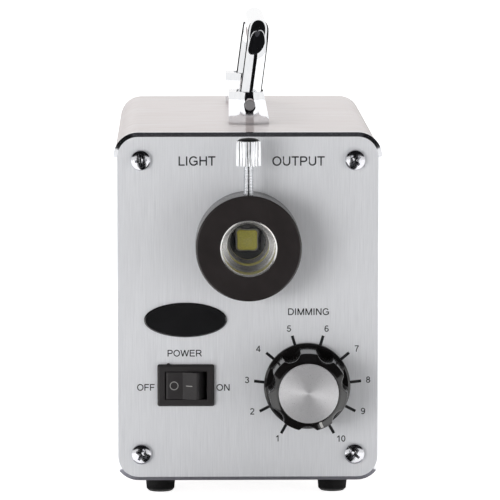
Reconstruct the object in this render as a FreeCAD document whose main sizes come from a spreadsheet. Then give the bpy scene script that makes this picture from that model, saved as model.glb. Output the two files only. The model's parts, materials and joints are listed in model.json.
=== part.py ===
import FreeCAD, Part
import math
import os
import Sketcher
from types import SimpleNamespace
from FreeCAD import Vector

# Bench light source for fibre light guides, in millimetres and degrees.
# X runs to the right along the front panel, Y runs from the front to the back and Z runs up.
# The origin is on the ground, in the middle of the width and of the whole depth.

SIZES = {
    # Front panel
    "panel_width": 98.0,
    "panel_height": 128.0,
    "panel_thickness": 3.0,
    "panel_corner": 9.0,
    "panel_bevel": 1.5,
    # Cover sleeve and rear panel
    "cover_inset": 0.5,
    "cover_wall": 1.5,
    "cover_length": 177.5,
    "rear_thickness": 2.0,
    "rear_bevel": 0.5,
    # Corner screws and the tie rods that they enter
    "corner_screw_inset": 10.0,
    "corner_head_radius": 3.75,
    "corner_head_height": 2.4,
    "corner_shank_radius": 1.95,
    "corner_shank_reach": 8.0,
    "thread_gap": 0.05,
    "rod_radius": 3.5,
    "rod_bore_depth": 12.0,
    # Air slots under the cover and through the tray
    "intake_slot_width": 3.0,
    "intake_slot_length": 34.0,
    "intake_slot_pitch": 8.0,
    "intake_slot_count": 5,
    "intake_setback": 55.0,
    # Chassis tray
    "tray_side_gap": 9.0,
    "tray_rear_gap": 12.5,
    "tray_setback": 12.0,
    "tray_thickness": 1.2,
    "tray_flange": 4.0,
    "tray_bend": 2.0,
    # Feet with their screws and nuts
    "foot_height": 10.0,
    "foot_top_radius": 6.0,
    "foot_bottom_radius": 5.2,
    "foot_edge": 0.8,
    "foot_recess_radius": 3.4,
    "foot_recess_depth": 3.5,
    "foot_side_setback": 16.8,
    "foot_setback": 36.0,
    "foot_screw_radius": 1.5,
    "foot_head_radius": 2.9,
    "foot_head_height": 1.9,
    "foot_nut_flats": 5.5,
    "foot_nut_height": 2.4,
    "foot_screw_proud": 0.6,
    "hole_gap": 0.2,
    # Carry handle
    "handle_rod_radius": 4.0,
    "handle_arm": 31.5,
    "handle_bend": 11.0,
    "handle_lean": 7.5,
    "handle_offset": 1.4,
    "handle_setback": 50.8,
    "handle_rear_setback": 32.2,
    # Handle brackets
    "bracket_height": 12.0,
    "bracket_left_reach": 7.8,
    "bracket_right_foot": 7.2,
    "bracket_right_top": 5.2,
    "bracket_depth": 20.0,
    "bracket_base": 2.2,
    "bracket_corner": 1.4,
    "bracket_flare": 1.6,
    "bracket_edge": 0.4,
    "pivot_height": 7.25,
    "pivot_radius": 1.95,
    "pivot_gap": 0.05,
    "pivot_proud": 0.3,
    "handle_side_gap": 0.3,
    "bracket_screw_radius": 1.45,
    "bracket_screw_depth": 3.8,
    "bracket_screw_head_radius": 2.75,
    "bracket_screw_head_height": 2.0,
    # Light port, with depths counted from the front of the collar
    "port_drop": 40.4,
    "port_reach": 18.6,
    "collar_radius": 19.15,
    "collar_edge": 0.5,
    "sleeve_radius": 10.25,
    "sleeve_length": 35.1,
    "bore_radius": 9.5,
    "bore_depth": 12.8,
    "lens_bore_radius": 7.7,
    "lens_seat_thickness": 1.0,
    "lens_seat_radius": 6.8,
    "led_bay_radius": 9.5,
    "ring_thickness": 1.2,
    "ring_inner_radius": 6.5,
    "ring_depth": 22.6,
    "lens_thickness": 4.6,
    "lens_edge": 1.6,
    "lens_gap": 0.1,
    "ring_nut_radius": 15.0,
    "ring_nut_thickness": 4.0,
    "ring_nut_notch": 3.0,
    "ring_nut_notches": 6,
    # Clamp screw
    "stud_radius": 1.9,
    "stud_exposed": 10.3,
    "stud_in_head": 6.0,
    "tip_setback": 0.3,
    "clamp_head_radius": 4.5,
    "clamp_head_height": 9.7,
    "clamp_head_bevel": 1.0,
    "clamp_flutes": 18,
    "clamp_flute_radius": 0.5,
    # Emitter, its board and the heat sink
    "star_flats": 18.5,
    "star_thickness": 1.6,
    "emitter_side": 7.0,
    "emitter_height": 1.4,
    "phosphor_side": 5.4,
    "phosphor_height": 0.5,
    "star_screw_spacing": 14.8,
    "star_screw_radius": 0.95,
    "star_screw_head": 1.8,
    "star_screw_head_height": 1.2,
    "star_screw_grip": 3.0,
    "sink_side": 50.0,
    "sink_base": 4.0,
    "fin_count": 7,
    "fin_thickness": 1.2,
    "fin_pitch": 7.0,
    "fin_length": 20.0,
    "pillar_flats": 6.0,
    "pillar_across": 35.0,
    "pillar_upward": 40.0,
    "pillar_screw_radius": 1.45,
    "pillar_screw_head": 2.5,
    "pillar_screw_head_height": 2.0,
    "pillar_screw_grip": 6.0,
    # Power switch
    "switch_from_edge": 26.3,
    "switch_height": 35.5,
    "bezel_width": 20.8,
    "bezel_tall": 15.3,
    "bezel_thickness": 2.0,
    "bezel_bevel": 0.8,
    "bezel_slope": 0.7,
    "switch_body_width": 18.8,
    "switch_body_tall": 12.8,
    "switch_body_depth": 13.0,
    "switch_well_width": 15.4,
    "switch_well_tall": 10.4,
    "switch_well_depth": 8.0,
    "rocker_tall": 9.9,
    "rocker_valley_rise": 5.5,
    "rocker_lip_half": 6.1,
    "rocker_lip_rise": 6.8,
    "rocker_side_half": 7.3,
    "rocker_heel_half": 6.6,
    "rocker_heel_drop": 2.6,
    "rocker_pivot_setback": 3.1,
    "rocker_tilt": 12.0,
    "rocker_round": 0.9,
    "trunnion_radius": 0.8,
    "trunnion_length": 0.8,
    "terminal_width": 4.8,
    "terminal_thickness": 0.8,
    "terminal_length": 8.0,
    "terminal_spacing": 8.0,
    # Dimmer knob and potentiometer
    "dimmer_from_edge": 27.4,
    "dimmer_height": 35.3,
    "knob_height": 20.5,
    "knob_panel_gap": 0.8,
    "skirt_radius": 15.8,
    "skirt_thickness": 2.4,
    "skirt_bevel": 0.8,
    "knob_foot_radius": 14.6,
    "knob_top_radius": 14.2,
    "knob_rim_radius": 11.4,
    "knob_shoulder_drop": 2.8,
    "flute_count": 7,
    "flute_radius": 4.4,
    "flute_centre": 16.9,
    "flute_turn": 22.2,
    "dimmer_rest": 158.5,
    "cap_radius": 10.8,
    "cap_thickness": 0.9,
    "cap_sunk": 0.8,
    "cap_fit": 0.05,
    "knob_hollow_radius": 8.8,
    "knob_hollow_depth": 5.0,
    "shaft_radius": 3.0,
    "shaft_gap": 0.05,
    "shaft_in_knob": 10.0,
    "set_screw_radius": 1.45,
    "set_screw_length": 5.0,
    "pot_radius": 8.5,
    "pot_depth": 9.5,
    "pot_bush_radius": 3.9,
    "pot_bush_proud": 3.6,
    "pot_nut_flats": 11.0,
    "pot_nut_thickness": 2.2,
    "pot_tab_width": 12.0,
    "pot_tab_drop": 6.0,
    "pot_tab_thickness": 1.0,
    "pot_tab_setback": 3.0,
    "pot_shaft_grip": 3.0,
    # Driver board
    "board_side_gap": 8.0,
    "board_rear_gap": 36.5,
    "board_thickness": 1.6,
    "board_setback": 62.0,
    "board_hole_inset": 4.0,
    "board_corner": 1.5,
    "standoff_height": 6.0,
    "standoff_flats": 5.5,
    "board_screw_radius": 1.45,
    "board_screw_head": 2.6,
    "board_screw_head_height": 1.8,
    "board_screw_grip": 4.5,
    "transformer_width": 24.0,
    "transformer_core": 12.0,
    "transformer_height": 18.0,
    "transformer_leg": 4.0,
    "winding_radius": 7.4,
    "capacitor_radius": 5.0,
    "capacitor_height": 17.0,
    "capacitor_groove": 0.5,
    "capacitor_spacing": 13.0,
    "capacitor_count": 2,
    "terminal_block_width": 15.0,
    "terminal_block_depth": 8.0,
    "terminal_block_height": 10.0,
    "terminal_block_bevel": 2.0,
    "terminal_block_ways": 3,
    "terminal_block_screw": 1.6,
    "terminal_block_well": 2.5,
    "fuse_radius": 2.6,
    "fuse_length": 20.0,
    "fuse_end_length": 5.0,
    "fuse_end_radius": 2.9,
    "fuse_lift": 4.0,
    "clip_width": 3.6,
    "clip_depth": 8.0,
    "clip_height": 5.4,
    # Mains inlet
    "inlet_height": 27.0,
    "inlet_flange_width": 50.0,
    "inlet_flange_tall": 23.0,
    "inlet_flange_thickness": 2.0,
    "inlet_flange_corner": 5.0,
    "inlet_body_width": 27.0,
    "inlet_body_tall": 19.6,
    "inlet_body_depth": 17.0,
    "inlet_body_corner": 3.0,
    "inlet_well_width": 24.0,
    "inlet_well_tall": 16.6,
    "inlet_well_depth": 16.0,
    "inlet_well_bevel": 4.0,
    "inlet_screw_spacing": 40.0,
    "inlet_screw_radius": 1.45,
    "inlet_screw_head": 2.75,
    "inlet_screw_head_height": 1.6,
    "inlet_nut_flats": 5.5,
    "inlet_nut_height": 2.4,
    "pin_width": 2.0,
    "pin_tall": 4.0,
    "pin_length": 10.5,
    "pin_spacing": 14.0,
    "pin_drop": 2.0,
    "earth_pin_rise": 2.0,
    "pin_tail": 8.0,
    # Exhaust fan and its vent
    "fan_height": 84.0,
    "fan_side": 40.0,
    "fan_corner": 3.0,
    "fan_depth": 10.0,
    "fan_bore_radius": 18.8,
    "fan_hole_spacing": 32.0,
    "fan_screw_radius": 1.45,
    "fan_screw_head": 2.75,
    "fan_screw_head_height": 1.6,
    "fan_screw_grip": 7.0,
    "fan_hub_radius": 9.0,
    "fan_plate": 1.2,
    "fan_spoke_width": 2.4,
    "fan_bearing_radius": 2.4,
    "fan_bearing_length": 5.0,
    "fan_shaft_radius": 1.0,
    "fan_shaft_gap": 0.05,
    "rotor_rear_gap": 0.8,
    "rotor_hub_depth": 7.4,
    "rotor_wall": 1.0,
    "blade_count": 7,
    "blade_thickness": 1.0,
    "blade_pitch": 35.0,
    "blade_chord": 8.6,
    "blade_reach": 17.5,
    "vent_radius": 17.5,
    "vent_slot_width": 2.6,
    "vent_slot_pitch": 4.8,
    "vent_slots_each_side": 3,
    # Badge
    "badge_width": 30.3,
    "badge_tall": 12.7,
    "badge_thickness": 1.0,
    "badge_bevel": 0.5,
    "badge_from_edge": 26.2,
    "badge_below_port": 28.1,
    # Overrun of every cut past the face that it opens
    "overrun": 1.0,
}


class Size:
    """A number together with the spreadsheet formula that gives it."""

    def __init__(self, number, formula):
        self.number = number
        self.formula = formula

    def __add__(self, other):
        other = sized(other)
        return Size(self.number + other.number, f"({self.formula} + {other.formula})")

    def __sub__(self, other):
        other = sized(other)
        return Size(self.number - other.number, f"({self.formula} - {other.formula})")

    def __mul__(self, other):
        other = sized(other)
        return Size(self.number * other.number, f"({self.formula} * {other.formula})")

    def __truediv__(self, other):
        other = sized(other)
        return Size(self.number / other.number, f"({self.formula} / {other.formula})")

    def __neg__(self):
        return Size(-self.number, f"(-1 * {self.formula})")

    def __rmul__(self, other):
        return sized(other) * self


def sized(value):
    return value if isinstance(value, Size) else Size(value, str(value))


def sine(angle):
    angle = sized(angle)
    return Size(math.sin(math.radians(angle.number)), f"sin({angle.formula})")


def cosine(angle):
    angle = sized(angle)
    return Size(math.cos(math.radians(angle.number)), f"cos({angle.formula})")


def root(size):
    return Size(math.sqrt(size.number), f"sqrt({size.formula})")


# The document and its spreadsheet

doc = FreeCAD.newDocument("FiberIlluminator")
sheet = doc.addObject("Spreadsheet::Sheet", "Sizes")
for row, (alias, value) in enumerate(SIZES.items(), start=1):
    sheet.set(f"A{row}", alias)
    sheet.set(f"B{row}", str(value))
    sheet.setAlias(f"B{row}", alias)
doc.recompute()
s = SimpleNamespace(**{alias: Size(value, f"Sizes.{alias}") for alias, value in SIZES.items()})

# Places that several sub-parts share, counted from the front panel's front face and bottom edge

back_face = s.panel_thickness + s.cover_length + s.rear_thickness
rear_reach = back_face + s.inlet_flange_thickness + s.inlet_screw_head_height
front_reach = s.knob_panel_gap + s.knob_height + s.cap_thickness - s.cap_sunk
front_y = (front_reach - rear_reach) / 2
ground_z = s.foot_height - s.cover_inset
panel_half = s.panel_width / 2
screws_across = s.panel_width - 2 * s.corner_screw_inset
screws_upward = s.panel_height - 2 * s.corner_screw_inset
port_height = s.panel_height - s.port_drop
switch_x = s.switch_from_edge - panel_half
dimmer_x = panel_half - s.dimmer_from_edge
cover_width = s.panel_width - 2 * s.cover_inset
cover_height = s.panel_height - 2 * s.cover_inset
cover_corner = s.panel_corner - s.cover_inset
cover_floor = s.cover_inset + s.cover_wall
cover_top = s.panel_height - s.cover_inset
tray_top = cover_floor + s.tray_thickness
tray_width = cover_width - 2 * (s.cover_wall + s.tray_side_gap)
tray_length = s.panel_thickness + s.cover_length - s.tray_setback - s.tray_rear_gap
board_width = tray_width - 2 * s.board_side_gap
board_length = back_face - s.board_setback - s.board_rear_gap
board_bottom = tray_top + s.standoff_height
board_top = board_bottom + s.board_thickness
rear_inner = s.panel_thickness + s.cover_length
clamp_y = s.bore_depth / 2 - s.port_reach
lens_radius = s.lens_bore_radius - s.lens_gap
lens_rise = s.lens_thickness - s.lens_edge
lens_curve = (lens_rise * lens_rise + lens_radius * lens_radius) / (2 * lens_rise)
lens_drop = lens_curve - root(lens_curve * lens_curve - s.lens_seat_radius * s.lens_seat_radius)
lens_seat_depth = s.ring_depth + s.ring_thickness + s.lens_thickness - lens_drop
star_front = s.sleeve_length - s.port_reach
sink_front = star_front + s.star_thickness
bracket_slot = 2 * (s.handle_rod_radius + s.handle_side_gap)
bracket_cheek = (s.bracket_depth - bracket_slot) / 2
foot_pitch_x = s.panel_width - 2 * s.foot_side_setback
foot_pitch_y = back_face - 2 * s.foot_setback
handle_span = back_face - s.handle_setback - s.handle_rear_setback

PARTS = []


# Bodies, sketches and features

def new_body(label):
    body = doc.addObject("PartDesign::Body", label)
    body.Label = label
    PARTS.append(body)
    return body


def place(body, x, y, z, axis=None, angle=None):
    """Put a body at a place counted from the front panel, turned about an axis if one is given."""
    if axis is not None:
        body.Placement = FreeCAD.Placement(Vector(), FreeCAD.Rotation(axis, angle.number))
        body.setExpression("Placement.Rotation.Angle", angle.formula)
    for letter, value in zip("xyz", (sized(x), front_y + y, ground_z + z)):
        body.setExpression(f"Placement.Base.{letter}", value.formula)


def origin_part(body, role):
    return next(item for item in body.Origin.OriginFeatures if item.Role == role)


def sketch_on(body, role, lift=0):
    """A sketch on one of the body's own planes, raised along that plane's normal."""
    sketch = body.newObject("Sketcher::SketchObject", f"{body.Name}_sketch")
    sketch.AttachmentSupport = [(origin_part(body, role), "")]
    sketch.MapMode = "FlatFace"
    sketch.setExpression("AttachmentOffset.Base.z", sized(lift).formula)
    return sketch


def pin(sketch, kind, where, size):
    """Add a driving dimension and bind it to its formula."""
    number = sketch.addConstraint(Sketcher.Constraint(kind, *where, size.number))
    sketch.setExpression(f"Constraints[{number}]", size.formula)


def pin_point(sketch, index, end, x, y):
    pin(sketch, "DistanceX", (-1, 1, index, end), sized(x))
    pin(sketch, "DistanceY", (-1, 1, index, end), sized(y))


def arc_between(start, end, radius):
    """The shorter arc from start to end, counterclockwise if the radius is positive."""
    chord = end - start
    height = math.sqrt(max(radius * radius - chord.Length * chord.Length / 4, 0))
    side = Vector(-chord.y, chord.x, 0).normalize() * math.copysign(height, radius)
    centre = (start + end) / 2 + side
    first, last = (start, end) if radius > 0 else (end, start)
    angles = [math.atan2(p.y - centre.y, p.x - centre.x) for p in (first, last)]
    circle = Part.Circle(centre, Vector(0, 0, 1), abs(radius))
    return Part.ArcOfCircle(circle, *angles)


def outline(sketch, corners):
    """A closed outline; a third value in a corner is the radius of the arc that leaves it."""
    corners = [tuple(sized(value) for value in corner) for corner in corners]
    ends = []
    for corner, following in zip(corners, corners[1:] + corners[:1]):
        start = Vector(corner[0].number, corner[1].number, 0)
        end = Vector(following[0].number, following[1].number, 0)
        if len(corner) == 2:
            ends.append((sketch.addGeometry(Part.LineSegment(start, end)), 1, 2))
        else:
            index = sketch.addGeometry(arc_between(start, end, corner[2].number))
            ends.append((index, 1, 2) if corner[2].number > 0 else (index, 2, 1))
    for here, following in zip(ends, ends[1:] + ends[:1]):
        sketch.addConstraint(Sketcher.Constraint("Coincident", here[0], here[2], *following[:2]))
    for corner, (index, start, _) in zip(corners, ends):
        pin_point(sketch, index, start, corner[0], corner[1])
        if len(corner) == 3:
            radius = corner[2] if corner[2].number > 0 else -corner[2]
            pin(sketch, "Radius", (index,), radius)


def rectangle(sketch, x, y, width, height):
    left, right = sized(x) - width / 2, sized(x) + width / 2
    low, high = sized(y) - height / 2, sized(y) + height / 2
    outline(sketch, [(left, low), (right, low), (right, high), (left, high)])


def rounded_rectangle(sketch, x, y, width, height, corner):
    left, right = sized(x) - width / 2, sized(x) + width / 2
    low, high = sized(y) - height / 2, sized(y) + height / 2
    outline(sketch, [
        (left + corner, low), (right - corner, low, corner),
        (right, low + corner), (right, high - corner, corner),
        (right - corner, high), (left + corner, high, corner),
        (left, high - corner), (left, low + corner, corner),
    ])


def upright_slot(sketch, x, y, width, length):
    """A slot with round ends that stands along the sketch's second axis."""
    radius = width / 2
    left, right = sized(x) - radius, sized(x) + radius
    low, high = sized(y) - length / 2 + radius, sized(y) + length / 2 - radius
    middle = sized(x)
    outline(sketch, [
        (right, low), (right, high, radius), (middle, high + radius, radius),
        (left, high), (left, low, radius), (middle, low - radius, radius),
    ])


def circle(sketch, x, y, radius):
    x, y = sized(x), sized(y)
    centre = Vector(x.number, y.number, 0)
    index = sketch.addGeometry(Part.Circle(centre, Vector(0, 0, 1), radius.number))
    pin_point(sketch, index, 3, x, y)
    pin(sketch, "Radius", (index,), radius)


def hexagon(sketch, flats):
    """A regular hexagon about the sketch's origin, given across its flats."""
    corner = flats / 2 / cosine(30)
    outline(sketch, [(corner * cosine(60 * k), corner * sine(60 * k)) for k in range(6)])


def pad(body, sketch, length, flip=False, both=False):
    feature = body.newObject("PartDesign::Pad", f"{body.Name}_pad")
    feature.Profile = sketch
    feature.setExpression("Length", length.formula)
    feature.Reversed = flip
    feature.Midplane = both
    doc.recompute()
    return feature


def pocket(body, sketch, depth=None, flip=False, both=False):
    """A cut from the sketch against its normal, right through if no depth is given."""
    feature = body.newObject("PartDesign::Pocket", f"{body.Name}_pocket")
    feature.Profile = sketch
    if depth is None:
        feature.Type = "ThroughAll"
    else:
        feature.setExpression("Length", depth.formula)
    feature.Reversed = flip
    feature.Midplane = both
    before = feature.BaseFeature.Shape.Volume
    doc.recompute()
    if feature.Shape.Volume >= before:
        raise RuntimeError(f"{body.Label}: a pocket cuts nothing")
    return feature


def turn(body, role, axis, corners):
    """A solid of revolution about one axis of a sketch that holds half of its section."""
    sketch = sketch_on(body, role)
    outline(sketch, corners)
    feature = body.newObject("PartDesign::Revolution", f"{body.Name}_turn")
    feature.Profile = sketch
    feature.ReferenceAxis = (sketch, [axis])
    doc.recompute()
    return feature


def turn_level(body, corners):
    """Turned about the Y axis, from corners of a place along Y and a radius."""
    return turn(body, "YZ_Plane", "H_Axis", corners)


def turn_upright(body, corners):
    """Turned about the Z axis, from corners of a height and a radius."""
    swapped = [(c[1], c[0]) if len(c) == 2 else (c[1], c[0], -c[2]) for c in corners]
    return turn(body, "XZ_Plane", "V_Axis", swapped)


def mirrored(corners):
    """The same half section, pointing the other way along its axis."""
    return [(-sized(c[0]), c[1], *(-radius for radius in c[2:])) for c in corners]


def repeat(body, features, *steps):
    """Repeat features along origin axes; each step is an axis, the whole distance and a count."""
    if len(steps) > 1:
        group = body.newObject("PartDesign::MultiTransform", f"{body.Name}_repeat")
        group.Originals = features
    patterns = []
    for axis, distance, count in steps:
        pattern = body.newObject("PartDesign::LinearPattern", f"{body.Name}_row")
        pattern.Direction = (origin_part(body, axis), [""])
        pattern.setExpression("Length", distance.formula)
        pattern.setExpression("Occurrences", sized(count).formula)
        patterns.append(pattern)
    if len(steps) > 1:
        group.Transformations = patterns
        body.Tip = group
    else:
        patterns[0].Originals = features
        body.Tip = patterns[0]
    doc.recompute()
    return body.Tip


def ring_of(body, features, axis, count):
    pattern = body.newObject("PartDesign::PolarPattern", f"{body.Name}_ring")
    pattern.Originals = features
    pattern.Axis = (origin_part(body, axis), [""])
    pattern.setExpression("Occurrences", count.formula)
    body.Tip = pattern
    doc.recompute()
    return pattern


def edges_at(feature, letter, place_along):
    """Names of the edges that lie in the plane where one coordinate has a value."""
    wanted = sized(place_along).number
    names = []
    for number, edge in enumerate(feature.Shape.Edges, start=1):
        box = edge.BoundBox
        low, high = getattr(box, letter + "Min"), getattr(box, letter + "Max")
        if math.isclose(low, wanted, abs_tol=1e-4) and math.isclose(high, wanted, abs_tol=1e-4):
            names.append(f"Edge{number}")
    return names


def edges_near(feature, x, y):
    """Names of the upright straight edges at a place seen from above."""
    x, y = sized(x).number, sized(y).number
    names = []
    for number, edge in enumerate(feature.Shape.Edges, start=1):
        if all(math.hypot(v.X - x, v.Y - y) < 1e-4 for v in edge.Vertexes):
            names.append(f"Edge{number}")
    return names


def chamfer(body, base, names, size):
    feature = body.newObject("PartDesign::Chamfer", f"{body.Name}_chamfer")
    feature.Base = (base, names)
    feature.setExpression("Size", size.formula)
    doc.recompute()
    return feature


def fillet(body, base, names, radius):
    feature = body.newObject("PartDesign::Fillet", f"{body.Name}_fillet")
    feature.Base = (base, names)
    feature.setExpression("Radius", radius.formula)
    doc.recompute()
    return feature


def pan_screw(head_radius, head_height, shank_radius, reach):
    """Half section of a pan-head screw: its seat at nothing, its shank forward, its head back."""
    bevel = head_height / 2
    tip = shank_radius / 3
    return [
        (-head_height, 0), (reach, 0), (reach, shank_radius - tip), (reach - tip, shank_radius),
        (0, shank_radius), (0, head_radius), (bevel - head_height, head_radius),
        (-head_height, head_radius - bevel),
    ]


def hex_block(body, flats, bore_radius, height, role="XY_Plane", flip=False):
    """A hexagonal nut or pillar with a bore right through it."""
    sketch = sketch_on(body, role)
    hexagon(sketch, flats)
    circle(sketch, 0, 0, bore_radius)
    return pad(body, sketch, height, flip=flip)


def at_corner_screws():
    """The places of the corner screws in the panels' own plane."""
    middle = s.panel_height / 2
    for across in (-1, 1):
        for upward in (-1, 1):
            yield across * screws_across / 2, middle + upward * screws_upward / 2


# Front panel and badge

def make_front_panel():
    body = new_body("front_panel")
    face = sketch_on(body, "XZ_Plane")
    rounded_rectangle(face, 0, s.panel_height / 2, s.panel_width, s.panel_height, s.panel_corner)
    plate = pad(body, face, s.panel_thickness, flip=True)
    chamfer(body, plate, edges_at(plate, "Y", 0), s.panel_bevel)
    holes = sketch_on(body, "XZ_Plane")
    for x, z in at_corner_screws():
        circle(holes, x, z, s.corner_shank_radius + s.hole_gap)
    circle(holes, 0, port_height, s.sleeve_radius + s.hole_gap)
    circle(holes, dimmer_x, s.dimmer_height, s.pot_bush_radius + s.hole_gap)
    rectangle(holes, switch_x, s.switch_height,
              s.switch_body_width + 2 * s.hole_gap, s.switch_body_tall + 2 * s.hole_gap)
    pocket(body, holes)
    place(body, 0, sized(0), 0)


def make_badge():
    body = new_body("panel_badge")
    face = sketch_on(body, "XZ_Plane")
    long_radius, short_radius = s.badge_width / 2, s.badge_tall / 2
    ellipse = Part.Ellipse(Vector(), long_radius.number, short_radius.number)
    index = face.addGeometry(ellipse)
    face.exposeInternalGeometry(index)
    major, minor = index + 1, index + 2
    face.addConstraint(Sketcher.Constraint("Coincident", -1, 1, index, 3))
    face.addConstraint(Sketcher.Constraint("Horizontal", major))
    pin(face, "Distance", (major,), s.badge_width)
    pin(face, "Distance", (minor,), s.badge_tall)
    plate = pad(body, face, s.badge_thickness)
    chamfer(body, plate, edges_at(plate, "Y", -s.badge_thickness), s.badge_bevel)
    place(body, s.badge_from_edge - panel_half, sized(0), port_height - s.badge_below_port)


# Corner screws and tie rods

def make_corner_screws(label, rear):
    body = new_body(label)
    reach = s.corner_shank_reach + (s.rear_thickness if rear else s.panel_thickness)
    section = pan_screw(s.corner_head_radius, s.corner_head_height, s.corner_shank_radius, reach)
    screw = turn_level(body, mirrored(section) if rear else section)
    spread_to_corners(body, screw)
    place_at_first_corner(body, back_face if rear else sized(0))


def spread_to_corners(body, feature):
    repeat(body, [feature], ("X_Axis", screws_across, 2),
           ("Z_Axis", screws_upward, 2))


def place_at_first_corner(body, y):
    place(body, -screws_across / 2, y, (s.panel_height - screws_upward) / 2)


def make_tie_rods():
    body = new_body("tie_rods")
    bore = s.corner_shank_radius + s.thread_gap
    length, depth = s.cover_length, s.rod_bore_depth
    rod = turn_level(body, [
        (0, bore), (depth, bore), (depth, 0), (length - depth, 0), (length - depth, bore),
        (length, bore), (length, s.rod_radius), (0, s.rod_radius),
    ])
    spread_to_corners(body, rod)
    place_at_first_corner(body, s.panel_thickness)


# Cover, rear panel and tray

def cut_intake(body, start_y, depth):
    """A row of air slots, cut upward from the body's own bottom plane."""
    slots = sketch_on(body, "XY_Plane")
    spread = (s.intake_slot_count - 1) * s.intake_slot_pitch
    upright_slot(slots, -spread / 2, start_y, s.intake_slot_width, s.intake_slot_length)
    cut = pocket(body, slots, depth, flip=True)
    repeat(body, [cut], ("X_Axis", spread, s.intake_slot_count))


def cut_foot_holes(body, start_y, depth):
    holes = sketch_on(body, "XY_Plane")
    for across in (-1, 1):
        for y in (start_y, start_y + foot_pitch_y):
            circle(holes, across * foot_pitch_x / 2, y, s.foot_screw_radius + s.hole_gap)
    pocket(body, holes, depth, flip=True)


def make_outer_cover():
    body = new_body("outer_cover")
    middle = s.panel_height / 2
    wall = 2 * s.cover_wall
    section = sketch_on(body, "XZ_Plane")
    rounded_rectangle(section, 0, middle, cover_width, cover_height, cover_corner)
    rounded_rectangle(section, 0, middle, cover_width - wall, cover_height - wall,
                      cover_corner - s.cover_wall)
    pad(body, section, s.cover_length, flip=True)
    floor_cut = cover_floor + s.overrun
    cut_foot_holes(body, s.foot_setback - s.panel_thickness, floor_cut)
    cut_intake(body, s.intake_setback - s.panel_thickness, floor_cut)
    roof = sketch_on(body, "XY_Plane", cover_top + s.overrun)
    first = s.handle_setback - s.panel_thickness
    for y in (first, first + handle_span):
        for side in (-1, 1):
            screw_y = y + side * (s.bracket_depth - bracket_cheek) / 2
            circle(roof, s.handle_offset, screw_y, s.bracket_screw_radius + s.hole_gap)
    pocket(body, roof, s.cover_wall + 2 * s.overrun)
    place(body, 0, s.panel_thickness, 0)


def make_rear_panel():
    body = new_body("rear_panel")
    middle = s.panel_height / 2
    face = sketch_on(body, "XZ_Plane")
    rounded_rectangle(face, 0, middle, cover_width, cover_height, cover_corner)
    plate = pad(body, face, s.rear_thickness, flip=True)
    chamfer(body, plate, edges_at(plate, "Y", s.rear_thickness), s.rear_bevel)
    holes = sketch_on(body, "XZ_Plane")
    for x, z in at_corner_screws():
        circle(holes, x, z, s.corner_shank_radius + s.hole_gap)
    for across in (-1, 1):
        circle(holes, across * s.inlet_screw_spacing / 2, s.inlet_height,
               s.inlet_screw_radius + s.hole_gap)
        for upward in (-1, 1):
            circle(holes, across * s.fan_hole_spacing / 2,
                   s.fan_height + upward * s.fan_hole_spacing / 2, s.fan_screw_radius + s.hole_gap)
    rounded_rectangle(holes, 0, s.inlet_height, s.inlet_body_width + 2 * s.hole_gap,
                      s.inlet_body_tall + 2 * s.hole_gap, s.inlet_body_corner)
    half_count = SIZES["vent_slots_each_side"]
    for k in range(-half_count, half_count + 1):
        x = k * s.vent_slot_pitch
        half_length = root(s.vent_radius * s.vent_radius - x * x)
        upright_slot(holes, x, s.fan_height, s.vent_slot_width, 2 * half_length)
    pocket(body, holes)
    place(body, 0, rear_inner, 0)


def make_chassis_tray():
    body = new_body("chassis_tray")
    length, top, wall = tray_length, s.tray_flange, s.tray_thickness
    bend = s.tray_bend
    inner = bend - wall
    side = sketch_on(body, "YZ_Plane")
    outline(side, [
        (0, top), (0, bend, bend), (bend, 0), (length - bend, 0, bend), (length, bend),
        (length, top), (length - wall, top), (length - wall, bend, -inner), (length - bend, wall),
        (bend, wall, -inner), (wall, bend), (wall, top),
    ])
    pad(body, side, tray_width, both=True)
    cut_foot_holes(body, s.foot_setback - s.tray_setback, wall + s.overrun)
    cut_intake(body, s.intake_setback - s.tray_setback, wall + s.overrun)
    place(body, 0, s.tray_setback, cover_floor)


# Feet

def spread_to_feet(body, feature):
    repeat(body, [feature], ("X_Axis", foot_pitch_x, 2), ("Y_Axis", foot_pitch_y, 2))


def place_at_first_foot(body, z):
    place(body, -foot_pitch_x / 2, s.foot_setback, z)


def make_feet():
    body = new_body("rubber_feet")
    height, edge = s.foot_height, s.foot_edge
    hole = s.foot_screw_radius + s.hole_gap
    foot = turn_upright(body, [
        (height, hole), (height, s.foot_top_radius), (edge, s.foot_bottom_radius),
        (0, s.foot_bottom_radius - edge), (0, s.foot_recess_radius),
        (s.foot_recess_depth, s.foot_recess_radius), (s.foot_recess_depth, hole),
    ])
    spread_to_feet(body, foot)
    place_at_first_foot(body, -ground_z)


def make_foot_fasteners():
    body = new_body("foot_screws")
    seat = s.foot_recess_depth - ground_z
    reach = tray_top + s.foot_nut_height + s.foot_screw_proud - seat
    section = pan_screw(s.foot_head_radius, s.foot_head_height, s.foot_screw_radius, reach)
    spread_to_feet(body, turn_upright(body, section))
    place_at_first_foot(body, seat)
    body = new_body("foot_nuts")
    nut = hex_block(body, s.foot_nut_flats, s.foot_screw_radius + s.thread_gap, s.foot_nut_height)
    spread_to_feet(body, nut)
    place_at_first_foot(body, tray_top)


# Carry handle

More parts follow.
